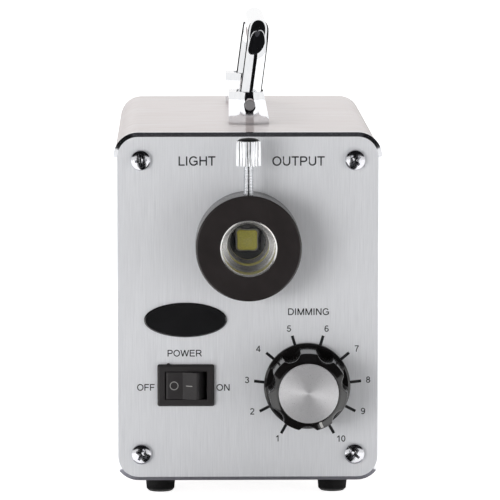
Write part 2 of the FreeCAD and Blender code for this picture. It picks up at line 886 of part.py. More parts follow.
def make_carry_handle():
    """A rod bent to a bow, with ball ends bored for the pivot pins."""
    body = new_body("carry_handle")
    arm, span, bend = s.handle_arm, handle_span, s.handle_bend
    path = sketch_on(body, "YZ_Plane")
    corners = [
        (0, 0), (0, arm - bend), (bend, arm), (span - bend, arm), (span, arm - bend), (span, 0),
    ]
    points = [Vector(sized(y).number, sized(z).number, 0) for y, z in corners]
    edges = []
    for k, (start, end) in enumerate(zip(points, points[1:])):
        if k % 2:
            edges.append(path.addGeometry(arc_between(start, end, -bend.number)))
        else:
            edges.append(path.addGeometry(Part.LineSegment(start, end)))
    front_leg, front_bend, grip, rear_bend, rear_leg = edges
    path.addConstraint([
        Sketcher.Constraint("Coincident", -1, 1, front_leg, 1),
        Sketcher.Constraint("Vertical", front_leg),
        Sketcher.Constraint("Tangent", front_leg, 2, front_bend, 2),
        Sketcher.Constraint("Tangent", front_bend, 1, grip, 1),
        Sketcher.Constraint("Horizontal", grip),
        Sketcher.Constraint("Tangent", grip, 2, rear_bend, 2),
        Sketcher.Constraint("Tangent", rear_bend, 1, rear_leg, 1),
        Sketcher.Constraint("Vertical", rear_leg),
        Sketcher.Constraint("PointOnObject", rear_leg, 2, -1),
        Sketcher.Constraint("Equal", front_bend, rear_bend),
    ])
    pin(path, "Radius", (front_bend,), bend)
    pin(path, "DistanceY", (-1, 1, grip, 1), arm)
    pin(path, "DistanceX", (-1, 1, rear_leg, 2), span)
    section = sketch_on(body, "XY_Plane")
    circle(section, 0, 0, s.handle_rod_radius)
    rod = body.newObject("PartDesign::AdditivePipe", "handle_rod")
    rod.Profile = section
    rod.Spine = (path, [f"Edge{k}" for k in range(1, len(edges) + 1)])
    doc.recompute()
    for y in (sized(0), span):
        ball = body.newObject("PartDesign::AdditiveSphere", "handle_end")
        ball.setExpression("Radius", s.handle_rod_radius.formula)
        ball.setExpression("Placement.Base.y", y.formula)
        doc.recompute()
    hole = sketch_on(body, "XZ_Plane")
    circle(hole, 0, 0, s.pivot_radius + s.pivot_gap)
    pocket(body, hole, both=True)
    place(body, s.handle_offset, s.handle_setback, cover_top + s.pivot_height,
          Vector(0, 1, 0), s.handle_lean)


def make_bracket(label, pivot_y):
    """A cast block with a cheek at each side of the handle, open at its top and right."""
    body = new_body(label)
    left, height, corner = s.bracket_left_reach, s.bracket_height, s.bracket_corner
    side = sketch_on(body, "XZ_Plane")
    outline(side, [
        (-left, 0), (s.bracket_right_foot, 0), (s.bracket_right_foot, s.bracket_flare),
        (s.bracket_right_foot - s.bracket_edge, s.bracket_flare + s.bracket_edge),
        (s.bracket_right_top, height), (corner - left, height, corner), (-left, height - corner),
    ])
    block = pad(body, side, s.bracket_depth, flip=True)
    rims = edges_at(block, "Y", 0) + edges_at(block, "Y", s.bracket_depth)
    chamfer(body, block, rims, s.bracket_edge)
    slot = sketch_on(body, "XZ_Plane", -bracket_cheek)
    inner = -(s.handle_rod_radius + s.handle_side_gap)
    right, high = s.bracket_right_foot + s.overrun, height + s.overrun
    outline(slot, [(inner, s.bracket_base), (right, s.bracket_base), (right, high), (inner, high)])
    pocket(body, slot, bracket_slot)
    hole = sketch_on(body, "XZ_Plane")
    circle(hole, 0, s.pivot_height, s.pivot_radius + s.pivot_gap)
    pocket(body, hole)
    taps = sketch_on(body, "XY_Plane")
    for y in (bracket_cheek / 2, s.bracket_depth - bracket_cheek / 2):
        circle(taps, 0, y, s.bracket_screw_radius + s.thread_gap)
    pocket(body, taps, s.bracket_screw_depth + s.hole_gap, flip=True)
    place(body, s.handle_offset, pivot_y - s.bracket_depth / 2, cover_top)


def make_handle_pins():
    body = new_body("handle_pivot_pins")
    low, high, radius = -s.pivot_proud, s.bracket_depth + s.pivot_proud, s.pivot_radius
    edge = s.pivot_proud
    bar = turn_level(body, [
        (low, 0), (high, 0), (high, radius - edge), (high - edge, radius), (low + edge, radius),
        (low, radius - edge),
    ])
    repeat(body, [bar], ("Y_Axis", handle_span, 2))
    place(body, s.handle_offset, s.handle_setback - s.bracket_depth / 2,
          cover_top + s.pivot_height)


def make_bracket_screws():
    body = new_body("handle_bracket_screws")
    screw = turn_upright(body, pan_screw(
        s.bracket_screw_head_radius, s.bracket_screw_head_height, s.bracket_screw_radius,
        s.cover_wall + s.bracket_screw_depth))
    repeat(body, [screw], ("Y_Axis", s.bracket_depth - bracket_cheek, 2),
           ("Y_Axis", handle_span, 2))
    place(body, s.handle_offset, s.handle_setback - (s.bracket_depth - bracket_cheek) / 2,
          cover_top - s.cover_wall)


# Light port, with its parts turned about the optical axis from the front of the collar

def place_on_axis(body, depth):
    place(body, 0, sized(depth) - s.port_reach, port_height)


def cut_clamp_hole(body, radius):
    """The upright hole of the clamp screw, from the bore out through the top."""
    hole = sketch_on(body, "XY_Plane")
    circle(hole, 0, s.bore_depth / 2, radius)
    pocket(body, hole, s.collar_radius + s.overrun, flip=True)


def make_port():
    body = new_body("port_collar")
    inner, outer, edge = s.sleeve_radius + s.thread_gap, s.collar_radius, s.collar_edge
    turn_level(body, [
        (0, inner), (s.port_reach, inner), (s.port_reach, outer), (edge, outer), (0, outer - edge),
    ])
    cut_clamp_hole(body, s.stud_radius + s.thread_gap)
    place_on_axis(body, 0)

    body = new_body("port_sleeve")
    seat_back = lens_seat_depth + s.lens_seat_thickness
    turn_level(body, [
        (0, s.sleeve_radius), (s.sleeve_radius - s.bore_radius, s.bore_radius),
        (s.bore_depth, s.bore_radius), (s.bore_depth, s.lens_bore_radius),
        (lens_seat_depth, s.lens_bore_radius), (lens_seat_depth, s.lens_seat_radius),
        (seat_back, s.lens_seat_radius), (seat_back, s.led_bay_radius),
        (s.sleeve_length, s.led_bay_radius), (s.sleeve_length, s.sleeve_radius),
    ])
    cut_clamp_hole(body, s.stud_radius + s.hole_gap)
    place_on_axis(body, 0)

    body = new_body("port_ring_nut")
    inner = s.sleeve_radius + s.thread_gap
    turn_level(body, [
        (0, inner), (s.ring_nut_thickness, inner), (s.ring_nut_thickness, s.ring_nut_radius),
        (0, s.ring_nut_radius),
    ])
    notch = sketch_on(body, "XZ_Plane")
    rectangle(notch, 0, s.ring_nut_radius, s.ring_nut_notch, s.ring_nut_notch)
    ring_of(body, [pocket(body, notch)], "Y_Axis", s.ring_nut_notches)
    place_on_axis(body, s.port_reach + s.panel_thickness)


def make_lens():
    body = new_body("lens_retaining_ring")
    turn_level(body, [
        (0, s.ring_inner_radius), (s.ring_thickness, s.ring_inner_radius),
        (s.ring_thickness, lens_radius), (0, lens_radius),
    ])
    place_on_axis(body, s.ring_depth)

    body = new_body("condenser_lens")
    turn_level(body, [
        (0, 0), (s.lens_thickness, 0, lens_curve), (s.lens_edge, lens_radius), (0, lens_radius),
    ])
    place_on_axis(body, s.ring_depth + s.ring_thickness)


def make_clamp_screw():
    body = new_body("clamp_stud")
    radius = s.stud_radius
    tip_height = s.bore_radius + s.tip_setback
    length = s.collar_radius - tip_height + s.stud_exposed + s.stud_in_head
    edge = radius / 3
    turn_upright(body, [
        (0, 0), (length, 0), (length, radius), (edge, radius), (0, radius - edge),
    ])
    place(body, 0, clamp_y, port_height + tip_height)

    body = new_body("clamp_head")
    bore, height, outer = s.stud_radius + s.thread_gap, s.clamp_head_height, s.clamp_head_radius
    depth, bevel = s.stud_in_head + s.thread_gap, s.clamp_head_bevel
    turn_upright(body, [
        (depth, 0), (height, 0), (height, outer - bevel), (height - bevel, outer), (0, outer),
        (0, bore), (depth, bore),
    ])
    flute = sketch_on(body, "XY_Plane", height + s.overrun)
    circle(flute, outer, 0, s.clamp_flute_radius)
    ring_of(body, [pocket(body, flute, height + 2 * s.overrun)], "Z_Axis", s.clamp_flutes)
    place(body, 0, clamp_y, port_height + s.collar_radius + s.stud_exposed)


# Emitter and heat sink

def make_emitter():
    body = new_body("led_star_board")
    plate = sketch_on(body, "XZ_Plane")
    hexagon(plate, s.star_flats)
    for side in (-1, 1):
        circle(plate, side * s.star_screw_spacing / 2, 0, s.star_screw_radius + s.hole_gap)
    pad(body, plate, s.star_thickness, flip=True)
    place_on_axis(body, s.sleeve_length)

    body = new_body("led_emitter")
    base = sketch_on(body, "XZ_Plane")
    rectangle(base, 0, 0, s.emitter_side, s.emitter_side)
    pad(body, base, s.emitter_height)
    face = sketch_on(body, "XZ_Plane", s.emitter_height)
    rounded_rectangle(face, 0, 0, s.phosphor_side, s.phosphor_side, s.phosphor_height)
    pad(body, face, s.phosphor_height)
    place_on_axis(body, s.sleeve_length)

    body = new_body("led_board_screws")
    section = pan_screw(s.star_screw_head, s.star_screw_head_height, s.star_screw_radius,
                        s.star_thickness + s.star_screw_grip)
    repeat(body, [turn_level(body, section)], ("X_Axis", s.star_screw_spacing, 2))
    place(body, -s.star_screw_spacing / 2, star_front, port_height)


def make_heat_sink():
    body = new_body("heat_sink")
    base = sketch_on(body, "XY_Plane")
    rectangle(base, 0, s.sink_base / 2, s.sink_side, s.sink_base)
    pad(body, base, s.sink_side, both=True)
    row = (s.fin_count - 1) * s.fin_pitch
    fin = sketch_on(body, "XY_Plane")
    rectangle(fin, -row / 2, s.sink_base + s.fin_length / 2, s.fin_thickness, s.fin_length)
    repeat(body, [pad(body, fin, s.sink_side, both=True)], ("X_Axis", row, s.fin_count))
    holes = sketch_on(body, "XZ_Plane")
    for across in (-1, 1):
        for upward in (-1, 1):
            circle(holes, across * s.pillar_across / 2, upward * s.pillar_upward / 2,
                   s.pillar_screw_radius + s.hole_gap)
    pocket(body, holes, s.sink_base + s.overrun)
    taps = sketch_on(body, "XZ_Plane")
    for side in (-1, 1):
        circle(taps, side * s.star_screw_spacing / 2, 0, s.star_screw_radius + s.thread_gap)
    pocket(body, taps, s.star_screw_grip + s.hole_gap)
    place(body, 0, sink_front, port_height)


def make_sink_fasteners():
    steps = (("X_Axis", s.pillar_across, 2), ("Z_Axis", s.pillar_upward, 2))
    x, z = -s.pillar_across / 2, port_height - s.pillar_upward / 2
    body = new_body("heat_sink_pillars")
    pillar = hex_block(body, s.pillar_flats, s.pillar_screw_radius + s.thread_gap,
                       sink_front - s.panel_thickness, "XZ_Plane", flip=True)
    repeat(body, [pillar], *steps)
    place(body, x, s.panel_thickness, z)
    body = new_body("heat_sink_screws")
    section = pan_screw(s.pillar_screw_head, s.pillar_screw_head_height, s.pillar_screw_radius,
                        s.sink_base + s.pillar_screw_grip)
    repeat(body, [turn_level(body, mirrored(section))], *steps)
    place(body, x, sink_front + s.sink_base, z)


# Power switch

def make_switch():
    body = new_body("switch_housing")
    face = sketch_on(body, "XZ_Plane")
    rounded_rectangle(face, 0, 0, s.bezel_width, s.bezel_tall, s.bezel_bevel)
    bezel = pad(body, face, s.bezel_thickness)
    chamfer(body, bezel, edges_at(bezel, "Y", -s.bezel_thickness), s.bezel_slope)
    block = sketch_on(body, "XZ_Plane")
    rectangle(block, 0, 0, s.switch_body_width, s.switch_body_tall)
    pad(body, block, s.switch_body_depth, flip=True)
    well = sketch_on(body, "XZ_Plane", s.bezel_thickness)
    rectangle(well, 0, 0, s.switch_well_width, s.switch_well_tall)
    pocket(body, well, s.bezel_thickness + s.switch_well_depth)
    bearing = sketch_on(body, "XY_Plane")
    circle(bearing, 0, s.rocker_pivot_setback, s.trunnion_radius + s.shaft_gap)
    pocket(body, bearing, s.rocker_tall + 2 * s.trunnion_length + 2 * s.hole_gap, both=True)
    place(body, switch_x, sized(0), s.switch_height)

    body = new_body("switch_terminals")
    blade = sketch_on(body, "XZ_Plane")
    rectangle(blade, 0, 0, s.terminal_thickness, s.terminal_width)
    repeat(body, [pad(body, blade, s.terminal_length, flip=True)],
           ("X_Axis", s.terminal_spacing, 2))
    place(body, switch_x - s.terminal_spacing / 2, s.switch_body_depth, s.switch_height)


def make_rocker():
    """A rocker with a shallow vee for its face, carried by two trunnions."""
    body = new_body("switch_rocker")
    lip_x, lip_y = s.rocker_lip_half, -s.rocker_lip_rise
    side = sketch_on(body, "XY_Plane")
    outline(side, [
        (0, -s.rocker_valley_rise), (lip_x, lip_y), (s.rocker_side_half, 0),
        (s.rocker_heel_half, s.rocker_heel_drop), (-s.rocker_heel_half, s.rocker_heel_drop),
        (-s.rocker_side_half, 0), (-lip_x, lip_y),
    ])
    button = pad(body, side, s.rocker_tall, both=True)
    lips = edges_near(button, lip_x, lip_y) + edges_near(button, -lip_x, lip_y)
    fillet(body, button, lips, s.rocker_round)
    trunnion = sketch_on(body, "XY_Plane")
    circle(trunnion, 0, 0, s.trunnion_radius)
    pad(body, trunnion, s.rocker_tall + 2 * s.trunnion_length, both=True)
    place(body, switch_x, s.rocker_pivot_setback, s.switch_height,
          Vector(0, 0, -1), s.rocker_tilt)


# Dimmer knob and potentiometer

def place_on_dimmer(body, y):
    place(body, dimmer_x, y, s.dimmer_height, Vector(0, 1, 0), s.dimmer_rest)


def make_knob():
    """A skirted knob with flutes cut down to its skirt, a sloped top and a seat for its cap."""
    body = new_body("dimmer_knob")
    height, skirt = s.knob_height, s.skirt_thickness
    hollow, bore = s.knob_hollow_depth, s.shaft_radius + s.shaft_gap
    seat, seat_radius = height - s.cap_sunk, s.cap_radius + s.cap_fit
    bottom = hollow + s.shaft_in_knob
    turn_level(body, mirrored([
        (0, s.skirt_radius), (0, s.knob_hollow_radius), (hollow, s.knob_hollow_radius),
        (hollow, bore), (bottom, bore), (bottom, 0), (seat, 0), (seat, seat_radius),
        (height, seat_radius), (height, s.knob_rim_radius),
        (height - s.knob_shoulder_drop, s.knob_top_radius), (skirt, s.knob_foot_radius),
        (skirt, s.skirt_radius - s.skirt_bevel), (skirt - s.skirt_bevel, s.skirt_radius),
    ]))
    flute = sketch_on(body, "XZ_Plane", skirt)
    circle(flute, s.flute_centre * sine(s.flute_turn), s.flute_centre * cosine(s.flute_turn),
           s.flute_radius)
    ring_of(body, [pocket(body, flute, height, flip=True)], "Y_Axis", s.flute_count)
    hole = sketch_on(body, "XY_Plane")
    circle(hole, 0, -(hollow + bottom) / 2, s.set_screw_radius + s.thread_gap)
    pocket(body, hole, s.skirt_radius + s.overrun)
    place_on_dimmer(body, -s.knob_panel_gap)

    body = new_body("knob_cap")
    edge = s.cap_thickness - s.cap_sunk
    turn_level(body, mirrored([
        (0, s.cap_radius), (0, 0), (s.cap_thickness, 0), (s.cap_thickness, s.cap_radius - edge),
        (s.cap_sunk, s.cap_radius),
    ]))
    place_on_dimmer(body, -(s.knob_panel_gap + seat))

    body = new_body("knob_set_screw")
    inner = s.shaft_radius
    turn_upright(body, [
        (-inner, 0), (-(inner + s.set_screw_length), 0),
        (-(inner + s.set_screw_length), s.set_screw_radius), (-inner, s.set_screw_radius),
    ])
    place_on_dimmer(body, -(s.knob_panel_gap + (hollow + bottom) / 2))


def make_potentiometer():
    body = new_body("potentiometer_shaft")
    front = s.knob_panel_gap + s.knob_hollow_depth + s.shaft_in_knob - s.hole_gap
    back = s.panel_thickness + s.pot_shaft_grip
    radius = s.shaft_radius
    turn_level(body, [(-front, 0), (back, 0), (back, radius), (-front, radius)])
    place_on_dimmer(body, sized(0))

    body = new_body("potentiometer_body")
    bore = s.shaft_radius + s.shaft_gap
    well, end = s.pot_shaft_grip + s.hole_gap, s.pot_depth
    proud = s.panel_thickness + s.pot_bush_proud
    can = turn_level(body, [
        (-proud, bore), (well, bore), (well, 0), (end, 0), (end, s.pot_radius), (0, s.pot_radius),
        (0, s.pot_bush_radius), (-proud, s.pot_bush_radius),
    ])
    tabs = sketch_on(body, "XZ_Plane", -s.pot_tab_setback)
    rectangle(tabs, 0, -(s.pot_radius + s.pot_tab_drop / 2 - s.overrun), s.pot_tab_width,
              s.pot_tab_drop)
    pad(body, tabs, s.pot_tab_thickness, flip=True)
    place(body, dimmer_x, s.panel_thickness, s.dimmer_height)

    body = new_body("potentiometer_nut")
    hex_block(body, s.pot_nut_flats, s.pot_bush_radius + s.thread_gap, s.pot_nut_thickness,
              "XZ_Plane")
    place(body, dimmer_x, sized(0), s.dimmer_height)


# Driver board

BOARD_SHARES = {
    "board_transformer": (-0.24, 0.50),
    "board_capacitors": (0.24, 0.28),
    "board_terminal_blocks": (0.0, 0.10),
    "board_fuse": (0.22, 0.72),
}


def place_on_board(body, lift=0, dx=0):
    across, along = BOARD_SHARES[body.Label]
    place(body, across * board_width + dx, s.board_setback + along * board_length,
          board_top + lift)


def make_board():
    steps = (("X_Axis", board_width - 2 * s.board_hole_inset, 2),
             ("Y_Axis", board_length - 2 * s.board_hole_inset, 2))
    x = s.board_hole_inset - board_width / 2
    y = s.board_setback + s.board_hole_inset
    body = new_body("driver_board")
    plate = sketch_on(body, "XY_Plane")
    rounded_rectangle(plate, 0, board_length / 2, board_width, board_length, s.board_corner)
    for side in (-1, 1):
        for along in (s.board_hole_inset, board_length - s.board_hole_inset):
            circle(plate, side * x, along, s.board_screw_radius + s.hole_gap)
    pad(body, plate, s.board_thickness)
    place(body, 0, s.board_setback, board_bottom)
    body = new_body("board_standoffs")
    post = hex_block(body, s.standoff_flats, s.board_screw_radius + s.thread_gap,
                     s.standoff_height)
    repeat(body, [post], *steps)
    place(body, x, y, tray_top)
    body = new_body("board_screws")
    section = pan_screw(s.board_screw_head, s.board_screw_head_height, s.board_screw_radius,
                        s.board_thickness + s.board_screw_grip)
    repeat(body, [turn_upright(body, mirrored(section))], *steps)
    place(body, x, y, board_top)


def make_transformer():
    body = new_body("board_transformer")
    width, height, leg = s.transformer_width, s.transformer_height, s.transformer_leg
    core = sketch_on(body, "XZ_Plane")
    rectangle(core, 0, height / 2, width, height)
    rectangle(core, 0, height / 2, width - 2 * leg, height - 2 * leg)
    pad(body, core, s.transformer_core, both=True)
    winding = sketch_on(body, "XY_Plane", leg)
    circle(winding, 0, 0, s.winding_radius)
    pad(body, winding, height - 2 * leg)
    place_on_board(body)


def make_capacitors():
    body = new_body("board_capacitors")
    radius, groove, height = s.capacitor_radius, s.capacitor_groove, s.capacitor_height
    can = turn_upright(body, [
        (0, 0), (height, 0), (height, radius - groove), (height - groove, radius),
        (4 * groove, radius), (3 * groove, radius - groove), (2 * groove, radius), (0, radius),
    ])
    row = (s.capacitor_count - 1) * s.capacitor_spacing
    repeat(body, [can], ("Y_Axis", row, s.capacitor_count))
    place_on_board(body)


def make_terminal_blocks():
    body = new_body("board_terminal_blocks")
    depth, height, bevel = s.terminal_block_depth, s.terminal_block_height, s.terminal_block_bevel
    side = sketch_on(body, "YZ_Plane")
    outline(side, [
        (-depth / 2, 0), (depth / 2, 0), (depth / 2, height), (bevel - depth / 2, height),
        (-depth / 2, height - bevel),
    ])
    block = pad(body, side, s.terminal_block_width, both=True)
    ways = SIZES["terminal_block_ways"]
    pitch = s.terminal_block_width / s.terminal_block_ways
    wells = sketch_on(body, "XY_Plane", height)
    for k in range(ways):
        circle(wells, (k - (ways - 1) / 2) * pitch, bevel / 2, s.terminal_block_screw)
    cut = pocket(body, wells, s.terminal_block_well)
    share = 1 - 2 * BOARD_SHARES[body.Label][1]
    repeat(body, [block, cut], ("Y_Axis", share * board_length, 2))
    place_on_board(body)


def make_fuse():
    body = new_body("board_fuse")
    half, end = s.fuse_length / 2, s.fuse_end_length
    glass, metal = s.fuse_radius, s.fuse_end_radius
    side = sketch_on(body, "XZ_Plane")
    outline(side, [
        (-half, 0), (half, 0), (half, metal), (half - end, metal), (half - end, glass),
        (end - half, glass), (end - half, metal), (-half, metal),
    ])
    tube = body.newObject("PartDesign::Revolution", "fuse_tube")
    tube.Profile = side
    tube.ReferenceAxis = (side, ["H_Axis"])
    doc.recompute()
    place_on_board(body, s.fuse_lift)

    body = new_body("fuse_clips")
    clip = sketch_on(body, "YZ_Plane")
    rectangle(clip, 0, s.clip_height / 2, s.clip_depth, s.clip_height)
    block = pad(body, clip, s.clip_width, both=True)
    cradle = sketch_on(body, "YZ_Plane")
    circle(cradle, 0, s.fuse_lift, s.fuse_end_radius + s.thread_gap)
    cut = pocket(body, cradle, both=True)
    spread = s.fuse_length - s.fuse_end_length
    repeat(body, [block, cut], ("X_Axis", spread, 2))
    across, along = BOARD_SHARES["board_fuse"]
    place(body, across * board_width - spread / 2, s.board_setback + along * board_length,
          board_top)


# Mains inlet

def pin_places():
    side = s.pin_spacing / 2
    return [(-side, -s.pin_drop), (side, -s.pin_drop), (sized(0), s.earth_pin_rise)]


def make_inlet():
    body = new_body("mains_inlet")
    flange = sketch_on(body, "XZ_Plane")
    rounded_rectangle(flange, 0, 0, s.inlet_flange_width, s.inlet_flange_tall,
                      s.inlet_flange_corner)
    for side in (-1, 1):
        circle(flange, side * s.inlet_screw_spacing / 2, 0, s.inlet_screw_radius + s.hole_gap)
    pad(body, flange, s.inlet_flange_thickness, flip=True)
    block = sketch_on(body, "XZ_Plane")
    rounded_rectangle(block, 0, 0, s.inlet_body_width, s.inlet_body_tall, s.inlet_body_corner)
    pad(body, block, s.inlet_body_depth)
    well = sketch_on(body, "XZ_Plane", -s.inlet_flange_thickness)
    half_width, half_tall, bevel = s.inlet_well_width / 2, s.inlet_well_tall / 2, s.inlet_well_bevel
    outline(well, [
        (-half_width, -half_tall), (half_width, -half_tall), (half_width, half_tall - bevel),
        (half_width - bevel, half_tall), (bevel - half_width, half_tall),
        (-half_width, half_tall - bevel),
    ])
    pocket(body, well, s.inlet_well_depth, flip=True)
    slots = sketch_on(body, "XZ_Plane")
    for x, z in pin_places():
        rectangle(slots, x, z, s.pin_width, s.pin_tall)
    pocket(body, slots, s.inlet_body_depth + s.overrun, flip=True)
    place(body, 0, back_face, s.inlet_height)

    body = new_body("inlet_pins")
    tail_end = s.inlet_body_depth + s.pin_tail
    blades = sketch_on(body, "XZ_Plane", tail_end)
    for x, z in pin_places():
        rectangle(blades, x, z, s.pin_width, s.pin_tall)
    well_bottom = s.inlet_well_depth - s.inlet_flange_thickness
    pad(body, blades, tail_end - well_bottom + s.pin_length, flip=True)
    place(body, 0, back_face, s.inlet_height)


def make_inlet_fasteners():
    step = ("X_Axis", s.inlet_screw_spacing, 2)
    x = -s.inlet_screw_spacing / 2
    body = new_body("inlet_screws")
    section = pan_screw(s.inlet_screw_head, s.inlet_screw_head_height, s.inlet_screw_radius,
                        s.inlet_flange_thickness + s.rear_thickness + s.inlet_nut_height)
    repeat(body, [turn_level(body, mirrored(section))], step)
    place(body, x, back_face + s.inlet_flange_thickness, s.inlet_height)
    body = new_body("inlet_nuts")
    nut = hex_block(body, s.inlet_nut_flats, s.inlet_screw_radius + s.thread_gap,
                    s.inlet_nut_height, "XZ_Plane")
    repeat(body, [nut], step)
    place(body, x, rear_inner, s.inlet_height)


# Exhaust fan, counted from the rear panel's inner face

def make_fan_frame():
    body = new_body("fan_frame")
    face = sketch_on(body, "XZ_Plane")
    rounded_rectangle(face, 0, 0, s.fan_side, s.fan_side, s.fan_corner)
    circle(face, 0, 0, s.fan_bore_radius)
    for across in (-1, 1):
        for upward in (-1, 1):
            circle(face, across * s.fan_hole_spacing / 2, upward * s.fan_hole_spacing / 2,
                   s.fan_screw_radius + s.thread_gap)
    pad(body, face, s.fan_depth)
    spoke_length = 2 * s.fan_bore_radius + s.hole_gap
    for width, height in ((s.fan_spoke_width, spoke_length), (spoke_length, s.fan_spoke_width)):
        spoke = sketch_on(body, "XZ_Plane", s.fan_depth)
        rectangle(spoke, 0, 0, width, height)
        pad(body, spoke, s.fan_plate, flip=True)
    plate = sketch_on(body, "XZ_Plane", s.fan_depth)
    circle(plate, 0, 0, s.fan_hub_radius)
    pad(body, plate, s.fan_plate, flip=True)
    bearing = sketch_on(body, "XZ_Plane", s.fan_depth)
    circle(bearing, 0, 0, s.fan_bearing_radius)
    pad(body, bearing, s.fan_plate + s.fan_bearing_length, flip=True)
    bore = sketch_on(body, "XZ_Plane")
    circle(bore, 0, 0, s.fan_shaft_radius + s.fan_shaft_gap)
    pocket(body, bore, both=True)
    place(body, 0, rear_inner, s.fan_height)


def make_fan_rotor():
    """A cup on a shaft, with pitched blades round it."""
    body = new_body("fan_rotor")
    gap, depth, wall = s.rotor_rear_gap, s.rotor_hub_depth, s.rotor_wall
    hub, inner, shaft = s.fan_hub_radius, s.fan_hub_radius - s.rotor_wall, s.fan_shaft_radius
    turn_level(body, mirrored([
        (gap, 0), (s.fan_depth - s.hole_gap, 0), (s.fan_depth - s.hole_gap, shaft),
        (gap + wall, shaft), (gap + wall, inner), (gap + depth, inner), (gap + depth, hub),
        (gap, hub),
    ]))
    blade = sketch_on(body, "XY_Plane", inner)
    middle = -(gap + depth / 2)
    along_x = s.blade_chord / 2 * cosine(s.blade_pitch)
    along_y = s.blade_chord / 2 * sine(s.blade_pitch)
    off_x = s.blade_thickness / 2 * sine(s.blade_pitch)
    off_y = s.blade_thickness / 2 * cosine(s.blade_pitch)
    outline(blade, [
        (off_x - along_x, middle - along_y - off_y), (along_x + off_x, middle + along_y - off_y),
        (along_x - off_x, middle + along_y + off_y), (-along_x - off_x, middle - along_y + off_y),
    ])
    ring_of(body, [pad(body, blade, s.blade_reach - inner)], "Y_Axis", s.blade_count)
    place(body, 0, rear_inner, s.fan_height)


def make_fan_screws():
    body = new_body("fan_screws")
    section = pan_screw(s.fan_screw_head, s.fan_screw_head_height, s.fan_screw_radius,
                        s.rear_thickness + s.fan_screw_grip)
    repeat(body, [turn_level(body, mirrored(section))], ("X_Axis", s.fan_hole_spacing, 2),
           ("Z_Axis", s.fan_hole_spacing, 2))
    half = s.fan_hole_spacing / 2
    place(body, -half, back_face, s.fan_height - half)


make_front_panel()
make_badge()
make_corner_screws("front_panel_screws", rear=False)
make_corner_screws("rear_panel_screws", rear=True)
make_tie_rods()
make_outer_cover()
make_rear_panel()
make_chassis_tray()
make_feet()
make_foot_fasteners()
make_carry_handle()
make_bracket("handle_bracket_front", s.handle_setback)
make_bracket("handle_bracket_rear", s.handle_setback + handle_span)
make_handle_pins()
make_bracket_screws()
make_port()
make_lens()
make_clamp_screw()
make_emitter()
make_heat_sink()
make_sink_fasteners()
make_switch()
make_rocker()
make_knob()
make_potentiometer()
make_board()
make_transformer()
make_capacitors()
make_terminal_blocks()
make_fuse()
make_inlet()
make_inlet_fasteners()
make_fan_frame()
make_fan_rotor()
make_fan_screws()

doc.recompute()
failed = [item.Label for item in doc.Objects if {"Invalid", "Error"} & set(item.State)]
failed += [body.Label for body in PARTS if body.Shape.isNull() or not body.Shape.isValid()]
if failed:
    raise RuntimeError(f"These did not build: {failed}")

os.makedirs("parts", exist_ok=True)
for body in PARTS:
    body.Shape.exportStep(f"parts/{body.Label}.step")
print(f"{len(PARTS)} sub-parts written")
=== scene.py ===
import json
import math

import bmesh
import bpy
from mathutils import Euler, Matrix, Vector


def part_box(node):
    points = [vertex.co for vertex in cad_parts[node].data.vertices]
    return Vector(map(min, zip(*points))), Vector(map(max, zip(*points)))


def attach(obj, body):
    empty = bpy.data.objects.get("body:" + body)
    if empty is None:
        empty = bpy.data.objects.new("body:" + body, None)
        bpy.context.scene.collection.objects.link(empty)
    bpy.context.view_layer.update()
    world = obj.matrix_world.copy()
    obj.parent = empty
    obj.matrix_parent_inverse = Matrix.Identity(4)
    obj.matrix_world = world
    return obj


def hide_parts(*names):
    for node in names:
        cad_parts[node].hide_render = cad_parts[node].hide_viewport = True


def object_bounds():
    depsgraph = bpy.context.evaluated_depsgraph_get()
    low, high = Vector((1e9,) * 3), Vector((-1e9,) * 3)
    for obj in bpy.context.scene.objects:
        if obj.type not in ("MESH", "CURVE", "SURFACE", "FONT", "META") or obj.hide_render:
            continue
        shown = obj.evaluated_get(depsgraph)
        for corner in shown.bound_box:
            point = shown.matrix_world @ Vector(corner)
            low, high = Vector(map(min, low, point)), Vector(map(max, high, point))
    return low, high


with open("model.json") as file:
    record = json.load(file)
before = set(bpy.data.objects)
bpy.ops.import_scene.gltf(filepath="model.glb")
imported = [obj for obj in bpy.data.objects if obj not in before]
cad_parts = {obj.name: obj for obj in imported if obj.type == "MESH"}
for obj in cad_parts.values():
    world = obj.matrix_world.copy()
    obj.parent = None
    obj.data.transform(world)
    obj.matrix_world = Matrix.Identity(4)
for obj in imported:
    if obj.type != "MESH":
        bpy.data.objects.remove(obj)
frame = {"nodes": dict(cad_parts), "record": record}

cad_low, cad_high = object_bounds()

MM = 0.001
NODES = frame["nodes"]
SLOT_OF = {entry["node"]: entry["material_slot"] for entry in frame["record"]["subparts"]}

panel_low, panel_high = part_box("front_panel")
PANEL_X = (panel_low.x + panel_high.x) / 2

# The camera, in the panel's millimetres and in degrees
CAMERA_PLACE = (-26.10, -1510.95, 257.20)
CAMERA_DOWN, CAMERA_RIGHT, CAMERA_LENS, SENSOR = 6.497, 1.018, 300.54, 36.0
CAMERA_TURN = Euler((math.radians(90 - CAMERA_DOWN), 0, math.radians(-CAMERA_RIGHT)))


def at(x, depth, z):
    """A place in millimetres: right of the panel's middle, behind its face, above its foot."""
    return Vector((PANEL_X + x * MM, panel_low.y + depth * MM, panel_low.z + z * MM))


def seen(px, py, depth=0.0):
    """The place (x, z in millimetres) at a depth behind the panel's face that shows at a point of
    the 500 x 500 photograph."""
    right, up, back = CAMERA_TURN.to_matrix().col
    focal = CAMERA_LENS / SENSOR * 500
    ray = right * (px - 250) / focal + up * (250 - py) / focal - back
    reach = (depth - CAMERA_PLACE[1]) / ray.y
    return CAMERA_PLACE[0] + ray.x * reach, CAMERA_PLACE[2] + ray.z * reach


# Node helpers

def linear(r, g, b):
    def one(value):
        value /= 255
        return value / 12.92 if value <= 0.04045 else ((value + 0.055) / 1.055) ** 2.4
    return one(r), one(g), one(b), 1.0


